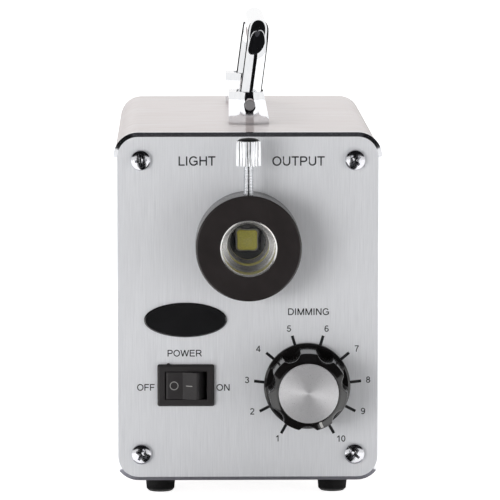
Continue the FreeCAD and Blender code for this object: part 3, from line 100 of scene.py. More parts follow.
class Look:
    """A node material with one principled shader."""

    def __init__(self, name, **values):
        self.material = bpy.data.materials.new(name)
        self.material.use_nodes = True
        self.tree = self.material.node_tree
        self.shader = self.tree.nodes["Principled BSDF"]
        for key, value in values.items():
            self.set(key, value)

    def socket(self, key):
        return self.shader.inputs[key.replace("_", " ")]

    def set(self, key, value):
        if isinstance(value, tuple) and len(value) == 3:
            value = (*value, 1.0)
        self.socket(key).default_value = value

    def node(self, kind, **settings):
        node = self.tree.nodes.new(kind)
        for key, value in settings.items():
            setattr(node, key, value)
        return node

    def link(self, source, target):
        self.tree.links.new(source, target)

    def give(self, key, source):
        self.link(source, self.socket(key))

    def coords(self, scale, kind="Object"):
        """Object coordinates times a number for each axis, in repeats per millimetre."""
        source = self.node("ShaderNodeTexCoord").outputs[kind]
        mapping = self.node("ShaderNodeMapping")
        mapping.inputs["Scale"].default_value = [value / MM for value in scale]
        self.link(source, mapping.inputs["Vector"])
        return mapping.outputs["Vector"]

    def noise(self, scale, detail=3.0, roughness=0.55, distortion=0.0):
        node = self.node("ShaderNodeTexNoise")
        node.inputs["Scale"].default_value = 1.0
        node.inputs["Detail"].default_value = detail
        node.inputs["Roughness"].default_value = roughness
        node.inputs["Distortion"].default_value = distortion
        self.link(self.coords(scale), node.inputs["Vector"])
        return node.outputs["Fac"]

    def ramp(self, source, *stops):
        node = self.node("ShaderNodeValToRGB")
        points = node.color_ramp.elements
        while len(points) < len(stops):
            points.new(0.5)
        for point, (place, colour) in zip(points, stops):
            point.position = place
            if not isinstance(colour, tuple):
                colour = (colour, colour, colour)
            point.color = (*colour[:3], 1.0)
        self.link(source, node.inputs["Fac"])
        return node.outputs["Color"]

    def math(self, operation, first, second=0.5):
        node = self.node("ShaderNodeMath", operation=operation)
        for socket, value in zip(node.inputs, (first, second)):
            if isinstance(value, (int, float)):
                socket.default_value = value
            else:
                self.link(value, socket)
        return node.outputs[0]

    def between(self, source, low, high, start=0.0, end=1.0):
        """source mapped from start..end to low..high."""
        node = self.node("ShaderNodeMapRange")
        for key, value in (("From Min", start), ("From Max", end),
                           ("To Min", low), ("To Max", high)):
            node.inputs[key].default_value = value
        self.link(source, node.inputs["Value"])
        return node.outputs["Result"]

    def mix(self, factor, first, second):
        node = self.node("ShaderNodeMix", data_type="RGBA")
        for socket, value in ((node.inputs[0], factor), (node.inputs[6], first),
                              (node.inputs[7], second)):
            if isinstance(value, (int, float)):
                socket.default_value = value
            elif isinstance(value, tuple):
                socket.default_value = (*value[:3], 1.0)
            else:
                self.link(value, socket)
        return node.outputs[2]

    def bump(self, height, strength, distance_mm):
        node = self.node("ShaderNodeBump")
        node.inputs["Strength"].default_value = strength
        node.inputs["Distance"].default_value = distance_mm * MM
        self.link(height, node.inputs["Height"])
        self.give("Normal", node.outputs["Normal"])

    def facing(self, axis):
        """How squarely the flat surface faces along an axis, from 0 to 1."""
        split = self.node("ShaderNodeSeparateXYZ")
        self.link(self.node("ShaderNodeNewGeometry").outputs["True Normal"], split.inputs[0])
        return self.math("ABSOLUTE", split.outputs["XYZ".index(axis)], 0.0)

    def grain_along(self, x, y, z):
        node = self.node("ShaderNodeCombineXYZ")
        for socket, value in zip(node.inputs, (x, y, z)):
            socket.default_value = value
        self.give("Tangent", node.outputs[0])

    def turned_about(self, axis):
        self.give("Tangent", self.node("ShaderNodeTangent", direction_type="RADIAL",
                                       axis=axis).outputs[0])


# Materials

def brushed_panel(name="panel_aluminium"):
    """Aluminium brushed upright, with its bevelled rim cut bright."""
    look = Look(name, Anisotropic=0.80)
    fine = look.noise((2.2, 0.4, 0.06), 3.0, 0.6)
    hairs = look.noise((4.5, 0.4, 0.14), 2.0, 0.6)
    broad = look.noise((0.09, 0.4, 0.016), 2.0, 0.5)
    streaks = look.math("ADD", look.math("MULTIPLY", fine, 0.60),
                        look.math("MULTIPLY", hairs, 0.40))
    colour = look.ramp(streaks, (0.30, (0.770, 0.778, 0.805)), (0.70, (0.930, 0.938, 0.965)))
    colour = look.mix(look.between(broad, 0.0, 0.35, 0.35, 0.65), colour, (0.800, 0.808, 0.835))
    look.give("Base_Color", colour)
    look.give("Metallic", look.between(look.facing("Y"), 1.0, 0.25, 0.75, 0.98))
    flat = look.between(look.facing("Y"), 0.0, 1.0, 0.75, 0.98)
    rough = look.math("MULTIPLY", flat, look.between(streaks, 0.28, 0.40, 0.3, 0.7))
    look.give("Roughness", look.math("ADD", rough, 0.16))
    look.bump(streaks, 0.12, 0.05)
    look.grain_along(1, 0, 0)
    return look.material


def laminate():
    """Pale satin film with faint wood grain that runs across the box."""
    look = Look("cover_laminate", Roughness=0.34, Coat_Weight=0.25, Coat_Roughness=0.12)
    warp = look.noise((0.02, 0.05, 0.05), 2.0)
    band = look.noise((0.035, 0.55, 0.55), 5.0, 0.6, 0.6)
    pores = look.noise((0.20, 1.9, 1.9), 3.0, 0.7)
    colour = look.ramp(band, (0.30, linear(214, 199, 196)), (0.48, linear(228, 218, 217)),
                       (0.72, linear(233, 227, 227)))
    colour = look.mix(look.between(pores, 0.22, 0.0, 0.30, 0.46), colour, linear(188, 166, 160))
    colour = look.mix(look.between(warp, 0.0, 0.18, 0.4, 0.7), colour, linear(222, 206, 203))
    look.give("Base_Color", colour)
    look.bump(pores, 0.10, 0.02)
    return look.material


def turned_metal(name, colour, rough, axis=None, aniso=0.0, rings=(6.0, 6.0, 6.0), quarter=0.0,
                 metal=1.0):
    look = Look(name, Metallic=metal, Anisotropic=aniso, Anisotropic_Rotation=quarter)
    marks = look.noise(rings, 3.0, 0.6)
    low = tuple(value * 0.90 for value in colour)
    look.give("Base_Color", look.ramp(marks, (0.3, low), (0.7, colour)))
    look.give("Roughness", look.between(marks, rough * 0.85, rough * 1.2, 0.3, 0.7))
    look.bump(marks, 0.06, 0.02)
    if axis:
        look.turned_about(axis)
    return look.material


def plating(name="bright_plating", rough=0.055):
    """Bright nickel and chrome with a trace of polishing haze."""
    look = Look(name, Metallic=1.0)
    haze = look.noise((0.5, 0.5, 0.2), 4.0, 0.6)
    look.give("Base_Color", look.ramp(haze, (0.3, (0.82, 0.83, 0.85)), (0.7, (0.90, 0.905, 0.92))))
    look.give("Roughness", look.between(haze, rough * 0.6, rough * 1.5, 0.3, 0.7))
    return look.material


def plastic(name, colour, rough, grain=3.0, depth=0.02, coat=0.0, strength=0.12):
    look = Look(name, Coat_Weight=coat, Coat_Roughness=0.05)
    cells = look.noise((grain, grain, grain), 3.0, 0.6)
    smudge = look.noise((0.12, 0.12, 0.12), 2.0)
    low = tuple(value * 0.8 for value in colour)
    look.give("Base_Color", look.ramp(smudge, (0.3, low), (0.7, colour)))
    look.give("Roughness", look.between(cells, rough * 0.85, rough * 1.2, 0.3, 0.7))
    look.bump(cells, strength, depth)
    return look.material


def clear_glass(name, tint=(0.97, 0.98, 0.98)):
    """Glass that lets lamp light through to what lies behind it."""
    look = Look(name, Transmission_Weight=1.0, IOR=1.30)
    film = look.noise((0.4, 0.4, 0.4), 2.0)
    look.give("Base_Color", look.ramp(film, (0.3, tuple(v * 0.98 for v in tint)), (0.7, tint)))
    look.give("Roughness", look.between(film, 0.0, 0.015))
    clear = look.node("ShaderNodeBsdfTransparent")
    swap = look.node("ShaderNodeMixShader")
    look.link(look.node("ShaderNodeLightPath").outputs["Is Shadow Ray"], swap.inputs[0])
    look.link(look.shader.outputs[0], swap.inputs[1])
    look.link(clear.outputs[0], swap.inputs[2])
    look.link(swap.outputs[0], look.tree.nodes["Material Output"].inputs["Surface"])
    return look.material


def phosphor():
    # Yellow phosphor with a faint painted glow: its small emission stands in for the little lamp
    # light that reaches it down the bore, as the emitter is not lit
    look = Look("emitter_phosphor", Roughness=0.45, Coat_Weight=0.3, Coat_Roughness=0.08,
                Emission_Color=(1.0, 0.87, 0.14), Emission_Strength=0.075)
    cells = look.noise((2.2, 2.2, 2.2), 3.0)
    look.give("Base_Color", look.ramp(cells, (0.3, (0.62, 0.55, 0.05)), (0.7, (0.85, 0.77, 0.10))))
    look.bump(cells, 0.2, 0.02)
    return look.material


def board_mask():
    """Green solder mask over tracks."""
    look = Look("board_laminate", Roughness=0.35, Coat_Weight=0.4, Coat_Roughness=0.1)
    tracks = look.node("ShaderNodeTexVoronoi", feature="DISTANCE_TO_EDGE", distance="MANHATTAN")
    tracks.inputs["Scale"].default_value = 1.0
    look.link(look.coords((0.22, 0.22, 0.22)), tracks.inputs["Vector"])
    look.give("Base_Color", look.ramp(tracks.outputs["Distance"], (0.04, (0.03, 0.22, 0.07)),
                                      (0.08, (0.012, 0.10, 0.035))))
    look.bump(tracks.outputs["Distance"], 0.2, 0.03)
    return look.material


LOOKS = {
    "panel_aluminium": brushed_panel(),
    "cover_laminate": laminate(),
    "bare_aluminium": turned_metal("bare_aluminium", (0.90, 0.89, 0.87), 0.22, metal=0.80),
    "black_anodised": plastic("black_anodised", (0.034, 0.029, 0.029), 0.20, 5.0, 0.006),
    "bright_plating": plating(),
    "screw_steel": turned_metal("screw_steel", (0.70, 0.70, 0.73), 0.17),
    "sheet_steel": turned_metal("sheet_steel", (0.56, 0.57, 0.58), 0.35, rings=(0.3, 0.3, 0.3)),
    "black_plastic": plastic("black_plastic", (0.010, 0.009, 0.009), 0.14, 4.0, 0.006, 0.25),
    "switch_plastic": plastic("switch_plastic", (0.030, 0.027, 0.028), 0.55, 4.0, 0.02),
    "badge_black": plastic("badge_black", (0.017, 0.017, 0.018), 0.10, 4.0, 0.004, 1.0, 0.05),
    "foot_rubber": plastic("foot_rubber", (0.008, 0.008, 0.008), 0.65, 3.0, 0.05, 0.0, 0.3),
    "lens_glass": clear_glass("lens_glass"),
    "emitter_phosphor": phosphor(),
    "board_laminate": board_mask(),
    "star_board": plastic("star_board", (0.020, 0.019, 0.018), 0.35),
    "winding_tape": plastic("winding_tape", (0.55, 0.40, 0.05), 0.35, 2.0, 0.03),
    "capacitor_sleeve": plastic("capacitor_sleeve", (0.02, 0.02, 0.05), 0.25),
    "terminal_plastic": plastic("terminal_plastic", (0.03, 0.18, 0.06), 0.35),
    "contact_brass": turned_metal("contact_brass", (0.72, 0.58, 0.30), 0.25),
    "fuse_glass": clear_glass("fuse_glass", (0.92, 0.95, 0.95)),
}
for node, obj in NODES.items():
    obj.data.materials.clear()
    obj.data.materials.append(LOOKS[SLOT_OF[node]])


# Mesh helpers

def finish_mesh(name, mesh, material, body, replaces=(), sharp=35.0):
    mesh.shade_smooth()
    mesh.set_sharp_from_angle(angle=math.radians(sharp))
    mesh.materials.clear()
    mesh.materials.append(material)
    obj = bpy.data.objects.new(name, mesh)
    bpy.context.scene.collection.objects.link(obj)
    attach(obj, body)
    if replaces:
        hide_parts(*replaces)


def mesh_from(bm, name):
    bmesh.ops.recalc_face_normals(bm, faces=bm.faces)
    mesh = bpy.data.meshes.new(name)
    bm.to_mesh(mesh)
    bm.free()
    return mesh


def piece(name, bm, slot, body="housing", replaces=(), material=None, sharp=35.0):
    mesh = mesh_from(bm, name)
    finish_mesh(name, mesh, material or LOOKS[slot], body, replaces, sharp)


def skin(bm, rings, closed=True):
    """Faces between rings of vertices; a ring of one vertex is a pole."""
    for lower, upper in zip(rings, rings[1:]):
        count = max(len(lower), len(upper))
        for k in range(count if closed else count - 1):
            j = (k + 1) % count
            if len(lower) == 1:
                bm.faces.new((lower[0], upper[j], upper[k]))
            elif len(upper) == 1:
                bm.faces.new((lower[k], lower[j], upper[0]))
            else:
                bm.faces.new((lower[k], lower[j], upper[j], upper[k]))


def ring(bm, place, radius_at, height, segments):
    """A ring of vertices about a local axis, or one vertex where the radius is nothing."""
    if radius_at(0.0) <= 0:
        return [bm.verts.new(place @ Vector((0, 0, height)))]
    made = []
    for k in range(segments):
        angle = 2 * math.pi * k / segments
        r = radius_at(angle)
        spot = Vector((r * math.sin(angle), r * math.cos(angle), height))
        made.append(bm.verts.new(place @ spot))
    return made


def lathe(bm, place, profile, segments=128):
    """Turns a profile of (radius, height) in millimetres about the local Z of place."""
    rings = [ring(bm, place, lambda a, r=r: r * MM, h * MM, segments) for r, h in profile]
    skin(bm, rings)


def closed_lathe(bm, place, profile, segments=128):
    """The same for a profile that ends where it starts, which makes a tube."""
    rings = [ring(bm, place, lambda a, r=r: r * MM, h * MM, segments) for r, h in profile]
    skin(bm, rings + [rings[0]])


def rounded(profile, radius, steps=3):
    """The profile with each of its inner corners rounded."""
    made = [profile[0]]
    for before, corner, after in zip(profile, profile[1:], profile[2:]):
        a, b, c = Vector(before), Vector(corner), Vector(after)
        reach = min(radius, (b - a).length * 0.45, (c - b).length * 0.45)
        start, end = b + (a - b).normalized() * reach, b + (c - b).normalized() * reach
        for k in range(steps + 1):
            t = k / steps
            made.append(tuple(start * (1 - t) ** 2 + b * 2 * t * (1 - t) + end * t ** 2))
    made.append(profile[-1])
    return made


def prism(bm, place, outline, low, high, shrink=1.0):
    """A block between two heights of place; shrink scales the outline at its top."""
    count = len(outline)
    base = [bm.verts.new(place @ Vector((x * MM, y * MM, low * MM))) for x, y in outline]
    top = [bm.verts.new(place @ Vector((x * shrink * MM, y * shrink * MM, high * MM)))
           for x, y in outline]
    bm.faces.new(base[::-1])
    bm.faces.new(top)
    for k in range(count):
        j = (k + 1) % count
        bm.faces.new((base[k], base[j], top[j], top[k]))


OUTWARD = Matrix(((1, 0, 0), (0, 0, -1), (0, 1, 0))).to_4x4()


def level(point):
    """Local axes at a point with local Z out of the front panel and local Y up."""
    return Matrix.Translation(point) @ OUTWARD


def backward(point):
    """Local axes at a point with local Z towards the back of the box."""
    return Matrix.Translation(point) @ Matrix.Rotation(-math.pi / 2, 4, "X")


def crosswise(place, x, y, z):
    """Axes at a point of place, in its own millimetres, with local Z along its -Y."""
    spot = Matrix.Translation((x * MM, y * MM, z * MM))
    return place @ spot @ Matrix.Rotation(math.pi / 2, 4, "X")


def upright(point):
    return Matrix.Translation(point)


def evaluated(mesh, name, *modifiers):
    """The mesh after modifiers, each (kind, {setting: value})."""
    obj = bpy.data.objects.new(name, mesh)
    bpy.context.scene.collection.objects.link(obj)
    for number, (kind, settings) in enumerate(modifiers):
        modifier = obj.modifiers.new(f"step_{number}", kind)
        for key, value in settings.items():
            setattr(modifier, key, value)
    bpy.context.view_layer.update()
    depsgraph = bpy.context.evaluated_depsgraph_get()
    result = bpy.data.meshes.new_from_object(obj.evaluated_get(depsgraph))
    bpy.data.objects.remove(obj)
    return result


def cut(mesh, cutter, name, *modifiers):
    """mesh with cutter taken away, both at their places, and then the modifiers."""
    tool = bpy.data.objects.new(name + "_cutter", cutter)
    bpy.context.scene.collection.objects.link(tool)
    result = evaluated(mesh, name, ("BOOLEAN", {"operation": "DIFFERENCE", "solver": "EXACT",
                                                "object": tool}), *modifiers)
    bpy.data.objects.remove(tool)
    return result


# Cross-recess pan-head screws

def cross_outline(wing, half):
    """Twelve corners of a cross."""
    corners = []
    for turn in range(4):
        c, s = round(math.cos(turn * math.pi / 2)), round(math.sin(turn * math.pi / 2))
        for x, y in ((wing, -half), (wing, half), (half, half)):
            corners.append((x * c - y * s, x * s + y * c))
    return corners


def cross_screw(head_radius, head_height, shank_radius, reach):
    """A pan head at the origin, its dome along +Z and its shank along -Z, with a cross recess."""
    origin = Matrix.Identity(4)
    rim = head_height * 0.36
    dome = []
    for k in range(14):
        t = k / 14
        r = head_radius * math.cos(t * math.pi / 2)
        dome.append((r, rim + (head_height - rim) * math.sin(t * math.pi / 2) ** 0.85))
    tip = [(0, -reach), (shank_radius * 0.6, -reach), (shank_radius, -reach + shank_radius * 0.5)]
    under = [(shank_radius, 0), (head_radius * 0.985, 0), (head_radius, rim * 0.2)]
    bm = bmesh.new()
    lathe(bm, origin, tip + under + dome + [(0, head_height)], 64)
    wing, half_wing, flare = head_radius * 0.40, head_radius * 0.085, 1.75
    recess = bmesh.new()
    prism(recess, origin, cross_outline(wing, half_wing),
          head_height * 0.30, head_height * 1.25, flare)
    body = cut(mesh_from(bm, "cross_screw"), mesh_from(recess, "cross"), "cross_screw")
    hub, hub_top = bmesh.new(), head_height * 1.3
    lathe(hub, origin, [(0, head_height * 0.22), (head_radius * 0.13, head_height * 0.3),
                        (head_radius * 0.30, hub_top), (0, hub_top)], 24)
    return cut(body, mesh_from(hub, "hub"), "cross_screw")


def screws(name, node, sizes, places):
    """Copies of one cross-recess screw: places are matrices."""
    pattern = cross_screw(*sizes)
    bm = bmesh.new()
    for place in places:
        copy = pattern.copy()
        copy.transform(place)
        bm.from_mesh(copy)
        bpy.data.meshes.remove(copy)
    bpy.data.meshes.remove(pattern)
    piece(name, bm, "screw_steel", replaces=(node,), sharp=28)


def spun(place, degrees):
    return place @ Matrix.Rotation(math.radians(degrees), 4, "Z")


def corners_of(node, radius):
    """The middles of four or two screw heads: the corners of the node's box less a head radius."""
    low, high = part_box(node)
    columns = (low.x + radius * MM, high.x - radius * MM)
    rows = (low.z + radius * MM, high.z - radius * MM)
    if rows[1] - rows[0] < radius * MM:
        rows = ((low.z + high.z) / 2,)
    return [(x, z) for z in rows for x in columns]


FRONT_FACE = panel_low.y
REAR_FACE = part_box("rear_panel")[1].y
INLET_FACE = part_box("mains_inlet")[1].y
# Head radius, head height, shank radius and reach in millimetres, and each cross's turn in degrees
for name, node, face, outward, sizes, turns in (
        ("corner_screws_front", "front_panel_screws", FRONT_FACE, level,
         (3.75, 2.4, 1.95, 11.0), (-28, 52, 8, 40)),
        ("corner_screws_rear", "rear_panel_screws", REAR_FACE, backward,
         (3.75, 2.4, 1.95, 10.0), (14, -33, 61, 5)),
        ("fan_cross_screws", "fan_screws", REAR_FACE, backward,
         (2.75, 1.6, 1.45, 9.0), (20, -8, 47, 71)),
        ("inlet_cross_screws", "inlet_screws", INLET_FACE, backward,
         (2.75, 1.6, 1.45, 6.4), (33, -12))):
    screws(name, node, sizes, [spun(outward(Vector((x, face, z))), turn)
                               for (x, z), turn in zip(corners_of(node, sizes[0]), turns)])


# Light port

port_low, port_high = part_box("port_collar")
PORT = Vector(((port_low.x + port_high.x) / 2, port_low.y, (port_low.z + port_high.z) / 2))
# In millimetres from the collar's front: its back, the end of the guide's bore, the lens seat and
# the end of the sleeve
REACH, BORE_DEPTH, SEAT, LENGTH = 18.6, 12.8, 26.08, 35.1
COLLAR_RADIUS, COLLAR_BORE = 19.15, 10.3
SLEEVE_RADIUS, GUIDE_RADIUS, WAIST_RADIUS, SEAT_RADIUS = 10.25, 9.5, 7.7, 6.8
PORT_SEGMENTS = 192


def port_place(depth=0.0):
    """Local Z runs into the box from the front of the collar."""
    return backward(PORT + Vector((0, depth * MM, 0)))


def with_clamp_hole(bm, name, radius):
    mesh = mesh_from(bm, name)
    hole = bmesh.new()
    lathe(hole, upright(PORT + Vector((0, BORE_DEPTH / 2 * MM, 0))),
          [(0, 5), (radius, 5), (radius, 22), (0, 22)], 48)
    return cut(mesh, mesh_from(hole, name + "_hole"), name)


collar = bmesh.new()
closed_lathe(collar, port_place(), rounded([
    (14, REACH), (COLLAR_BORE, REACH), (COLLAR_BORE, 0.0), (18.65, 0.0), (COLLAR_RADIUS, 0.5),
    (COLLAR_RADIUS, REACH), (14, REACH)], 0.18), PORT_SEGMENTS)
finish_mesh("light_port_collar", with_clamp_hole(collar, "light_port_collar", 1.95),
            LOOKS["black_anodised"], "housing", ("port_collar",))

sleeve = bmesh.new()
closed_lathe(sleeve, port_place(), rounded([
    (10.0, LENGTH), (GUIDE_RADIUS, LENGTH), (GUIDE_RADIUS, SEAT + 1), (SEAT_RADIUS, SEAT + 1),
    (SEAT_RADIUS, SEAT), (WAIST_RADIUS, SEAT), (WAIST_RADIUS, BORE_DEPTH),
    (GUIDE_RADIUS, BORE_DEPTH), (GUIDE_RADIUS, 0.75), (SLEEVE_RADIUS, 0.0),
    (SLEEVE_RADIUS, LENGTH), (10.0, LENGTH)], 0.10, 2), PORT_SEGMENTS)
finish_mesh("light_port_sleeve", with_clamp_hole(sleeve, "light_port_sleeve", 2.1),
            LOOKS["bare_aluminium"], "housing", ("port_sleeve",))

lens_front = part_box("condenser_lens")[0].y
lens_radius, lens_edge, lens_tall = 7.6, 1.6, 4.6
rise = lens_tall - lens_edge
curve = (rise * rise + lens_radius * lens_radius) / (2 * rise)
back = [(curve * math.sin(t), lens_tall - curve + curve * math.cos(t))
        for t in [math.asin(lens_radius / curve) * k / 24 for k in range(24, 0, -1)]]
glass = bmesh.new()
lathe(glass, port_place((lens_front - PORT.y) / MM),
      [(0, 0), (3, 0), (6, 0), (7.45, 0), (7.6, 0.15), (7.6, 1.0)] + back + [(0, lens_tall)], 128)
piece("condenser_lens_glass", glass, "lens_glass", replaces=("condenser_lens",), sharp=40)

emitter_low, emitter_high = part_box("led_emitter")
EMITTER = Vector(((emitter_low.x + emitter_high.x) / 2, emitter_high.y,
                  (emitter_low.z + emitter_high.z) / 2))
DIE_DROP = 0.5  # millimetres below the middle of its base, as the photograph shows it


def rounded_square(side, radius, steps=6):
    corners = []
    for turn, (sx, sy) in enumerate(((1, 1), (-1, 1), (-1, -1), (1, -1))):
        for k in range(steps + 1):
            angle = math.radians(90 * (turn + k / steps))
            corners.append((sx * (side / 2 - radius) + radius * math.cos(angle),
                            sy * (side / 2 - radius) + radius * math.sin(angle)))
    return corners


body_look = plastic("emitter_body", (0.030, 0.026, 0.024), 0.30, 4.0, 0.01)
rim_look = plastic("emitter_rim", (0.46, 0.42, 0.33), 0.30, 4.0, 0.01)
emitter = bmesh.new()
prism(emitter, level(EMITTER), rounded_square(7.0, 0.4), 0.0, 1.4)
piece("emitter_base", emitter, "star_board", replaces=("led_emitter",), material=body_look)
die_place = level(EMITTER - Vector((0, 0, DIE_DROP * MM)))
emitter = bmesh.new()
prism(emitter, die_place, rounded_square(6.6, 1.3), 1.3, 1.62)
piece("emitter_dam", emitter, "emitter_phosphor", material=rim_look)
# The phosphor square carries the phosphor material with its faint painted glow
emitter = bmesh.new()
prism(emitter, die_place, rounded_square(6.0, 1.1), 1.6, 1.88, 0.97)
piece("emitter_phosphor_square", emitter, "emitter_phosphor")


# Clamp screw

clamp_low, clamp_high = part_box("clamp_head")
CLAMP = Vector(((clamp_low.x + clamp_high.x) / 2, (clamp_low.y + clamp_high.y) / 2, clamp_low.z))


def fluted(bm, place, rows, count, centre, flute, turn, soft, segments):
    """Rings of (radius, height, share of the flute's depth), with round flutes cut into them."""
    pitch = 2 * math.pi / count

    def radius_at(angle, base, share):
        off = (angle - turn + pitch / 2) % pitch - pitch / 2
        across = centre * math.sin(off)
        if base <= 0 or share <= 0 or abs(across) >= flute:
            return base * MM
        near = centre * math.cos(off) - math.sqrt(flute * flute - across * across)
        blend = max(soft - abs(base - near), 0) / soft
        lower = min(base, near) - blend * blend * soft / 4
        return (base + (lower - base) * share) * MM

    rings = [ring(bm, place, lambda a, r=r, s=s: radius_at(a, r, s), h * MM, segments)
             for r, h, s in rows]
    skin(bm, rings)


stud = bmesh.new()
stud_low, stud_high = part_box("clamp_stud")
stud_length = (stud_high.z - stud_low.z) / MM
stud_place = upright(Vector((CLAMP.x, CLAMP.y, stud_low.z)))
# The thread as drawn, in millimetres: finer than the 0.70 a turn that the screw moves, because the
# photograph shows it so
pitch, crest_radius, thread_depth = 0.55, 1.9, 0.34
around, per_turn = 28, 10
rings = [[stud.verts.new(stud_place @ Vector((0, 0, 0)))]]
steps = int(stud_length / pitch * per_turn)
for row in range(steps + 1):
    height = stud_length * row / steps
    end = min(height, stud_length - height)
    made = []
    for k in range(around):
        angle = 2 * math.pi * k / around
        phase = (height / pitch - k / around) % 1.0
        fall = min(1.0, abs(2 * phase - 1) * 1.25)
        radius = (crest_radius - thread_depth * fall) * min(1.0, 0.68 + end * 0.5)
        made.append(stud.verts.new(stud_place @ Vector((
            radius * MM * math.sin(angle), radius * MM * math.cos(angle), height * MM))))
    rings.append(made)
rings.append([stud.verts.new(stud_place @ Vector((0, 0, stud_length * MM)))])
skin(stud, rings)
thread_look = plating("thread_plating", 0.22)
piece("threaded_clamp_stud", stud, "bright_plating", "clamp_stud", ("clamp_stud",), thread_look, 50)

head = bmesh.new()
CLAMP_FLUTES = 24
fluted(head, upright(CLAMP), [
    (0, 6.05, 0), (1.95, 6.05, 0), (1.95, 0, 0), (4.25, 0, 0), (4.42, 0.06, 0.8), (4.5, 0.22, 1),
    (4.5, 4.5, 1), (4.5, 8.8, 1), (4.42, 9.02, 1), (4.2, 9.1, 1), (0, 9.1, 0)],
    CLAMP_FLUTES, 4.62, 0.42, 0.0, 0.08, CLAMP_FLUTES * 16)
head_top = bmesh.new()
top_radius, top_foot, top_rise = 3.75, 9.15, 0.95
top_dome = [(top_radius * math.cos(t), top_foot + top_rise * math.sin(t))
            for t in (0.15, 0.3, 0.5, 0.7, 0.9, 1.1, 1.3, 1.45)]
lathe(head_top, upright(CLAMP),
      [(0, 9.0), (3.6, 9.0), (top_radius, 9.1)] + top_dome + [(0, 10.1)], 96)
piece("splined_clamp_head", head, "bright_plating", "clamp_head", ("clamp_head",))
piece("clamp_head_top", head_top, "black_anodised", "clamp_head",
      material=plastic("clamp_top_black", (0.008, 0.008, 0.009), 0.5, 6.0, 0.01))


# Dimmer knob

knob_low, knob_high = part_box("dimmer_knob")
KNOB = Vector(((knob_low.x + knob_high.x) / 2, knob_high.y, (knob_low.z + knob_high.z) / 2))
KNOB_REST = 158.5  # degrees clockwise from upright to the knob's mark
KNOB_FLUTES = 7


def knob_place():
    """Local Z runs out of the panel and local Y points along the knob's own mark."""
    return level(KNOB) @ Matrix.Rotation(-math.radians(KNOB_REST), 4, "Z")


knob = bmesh.new()
rows = [(0, 15.0, 0), (3.05, 15.0, 0), (3.05, 5.0, 0), (8.8, 5.0, 0), (8.8, 0.0, 0), (15.6, 0.0, 0),
        (15.8, 0.2, 0), (15.8, 1.45, 0), (15.72, 1.68, 0), (15.5, 1.9, 0), (15.0, 2.4, 0),
        (14.75, 2.4, 0), (14.6, 2.5, 0.93), (14.59, 2.9, 1)]
rows += [(14.6 - 0.4 * t, 2.4 + 15.3 * t, 1) for t in (0.08, 0.2, 0.35, 0.5, 0.65, 0.8, 0.93)]
rows += [(14.2, 17.4, 1), (14.15, 17.6, 1), (13.95, 17.82, 1), (13.6, 18.1, 1)]
rows += [(13.6 - 2.0 * t, 18.1 + 2.1 * t, 1) for t in (0.2, 0.4, 0.6, 0.8)]
rows += [(11.6, 20.25, 0), (11.35, 20.42, 0), (11.1, 20.5, 0), (10.92, 20.45, 0), (10.85, 20.3, 0),
         (10.85, 19.7, 0), (0, 19.7, 0)]
fluted(knob, knob_place(), rows, KNOB_FLUTES, 16.9, 4.4, math.radians(22.2), 0.5,
       KNOB_FLUTES * 64)
set_hole = bmesh.new()
lathe(set_hole, crosswise(knob_place(), 0, 0, 10.0), [(0, 4), (1.5, 4), (1.5, 18), (0, 18)], 32)
drilled = cut(mesh_from(knob, "fluted_knob"), mesh_from(set_hole, "set_hole"), "fluted_knob")
finish_mesh("fluted_knob", drilled, LOOKS["black_plastic"], "dimmer",
            ("dimmer_knob",), 30)

NODES["knob_cap"].data.materials[0] = turned_metal(
    "spun_cap", (0.96, 0.95, 0.97), 0.32, "Y", 0.9, (3.0, 3.0, 3.0), 0.25, 0.55)
NODES["handle_pivot_pins"].data.materials[0] = turned_metal(
    "pin_ends", (0.42, 0.42, 0.43), 0.45, rings=(2.5, 2.5, 2.5), metal=0.6)


# Carry handle

pin_low, pin_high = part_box("handle_pivot_pins")
PIVOT = Vector(((pin_low.x + pin_high.x) / 2, 0, (pin_low.z + pin_high.z) / 2))
PIN_RADIUS = 2.0
LEAN = 7.5  # degrees to the right, at rest
# In millimetres; the arm is 4.2 shorter than the solid's, as the photograph shows it
SETBACK, span, arm, bend, rod = 50.8, 99.5, 27.3, 11.0, 4.0
front_pivot = Vector((PIVOT.x, at(0, SETBACK, 0).y, PIVOT.z))
pivot_place = Matrix.Translation(front_pivot) @ Matrix.Rotation(math.radians(LEAN), 4, "Y")
path = []
for k in range(1, 13):
    t = k / 12 * math.pi / 2
    path.append(((0, -rod * math.cos(t)), (0, 1), rod * math.sin(t)))
for k in range(1, 7):
    path.append(((0, (arm - bend) * k / 6), (0, 1), rod))
for k in range(1, 25):
    t = k / 24 * math.pi / 2
    path.append(((bend - bend * math.cos(t), arm - bend + bend * math.sin(t)),
                 (math.sin(t), math.cos(t)), rod))
half_path = path + [((bend + (span / 2 - bend) * k / 6, arm), (1, 0), rod) for k in range(1, 7)]
other_half = [((span - y, z), (dy, -dz), r) for (y, z), (dy, dz), r in reversed(half_path[:-1])]
handle = bmesh.new()
rings = [[handle.verts.new(pivot_place @ Vector((0, 0, -rod * MM)))]]
for (y, z), (dy, dz), radius in half_path + other_half:
    made = []
    for k in range(64):
        angle = 2 * math.pi * k / 64
        side, out = radius * math.cos(angle), radius * math.sin(angle)
        spot = Vector((side, y - out * dz, z + out * dy)) * MM
        made.append(handle.verts.new(pivot_place @ spot))
    rings.append(made)
rings.append([handle.verts.new(pivot_place @ (Vector((0, span, -rod)) * MM))])
skin(handle, rings)
bores = bmesh.new()
for y in (0, span):
    lathe(bores, crosswise(pivot_place, 0, y, 0),
          [(0, -6), (PIN_RADIUS, -6), (PIN_RADIUS, 6), (0, 6)], 40)
finish_mesh("bent_rod_handle", cut(mesh_from(handle, "rod"), mesh_from(bores, "bores"), "rod"),
            LOOKS["bright_plating"], "handle", ("carry_handle",), 40)


# Handle brackets with crowned ends

def crown(x):
    """How far the end of a bracket falls back at a distance from its middle."""
    x = abs(x)
    if x <= 4.5:
        return 9.2 - math.sqrt(9.2 ** 2 - x * x)
    return 1.176 + (x - 4.5) * 0.62


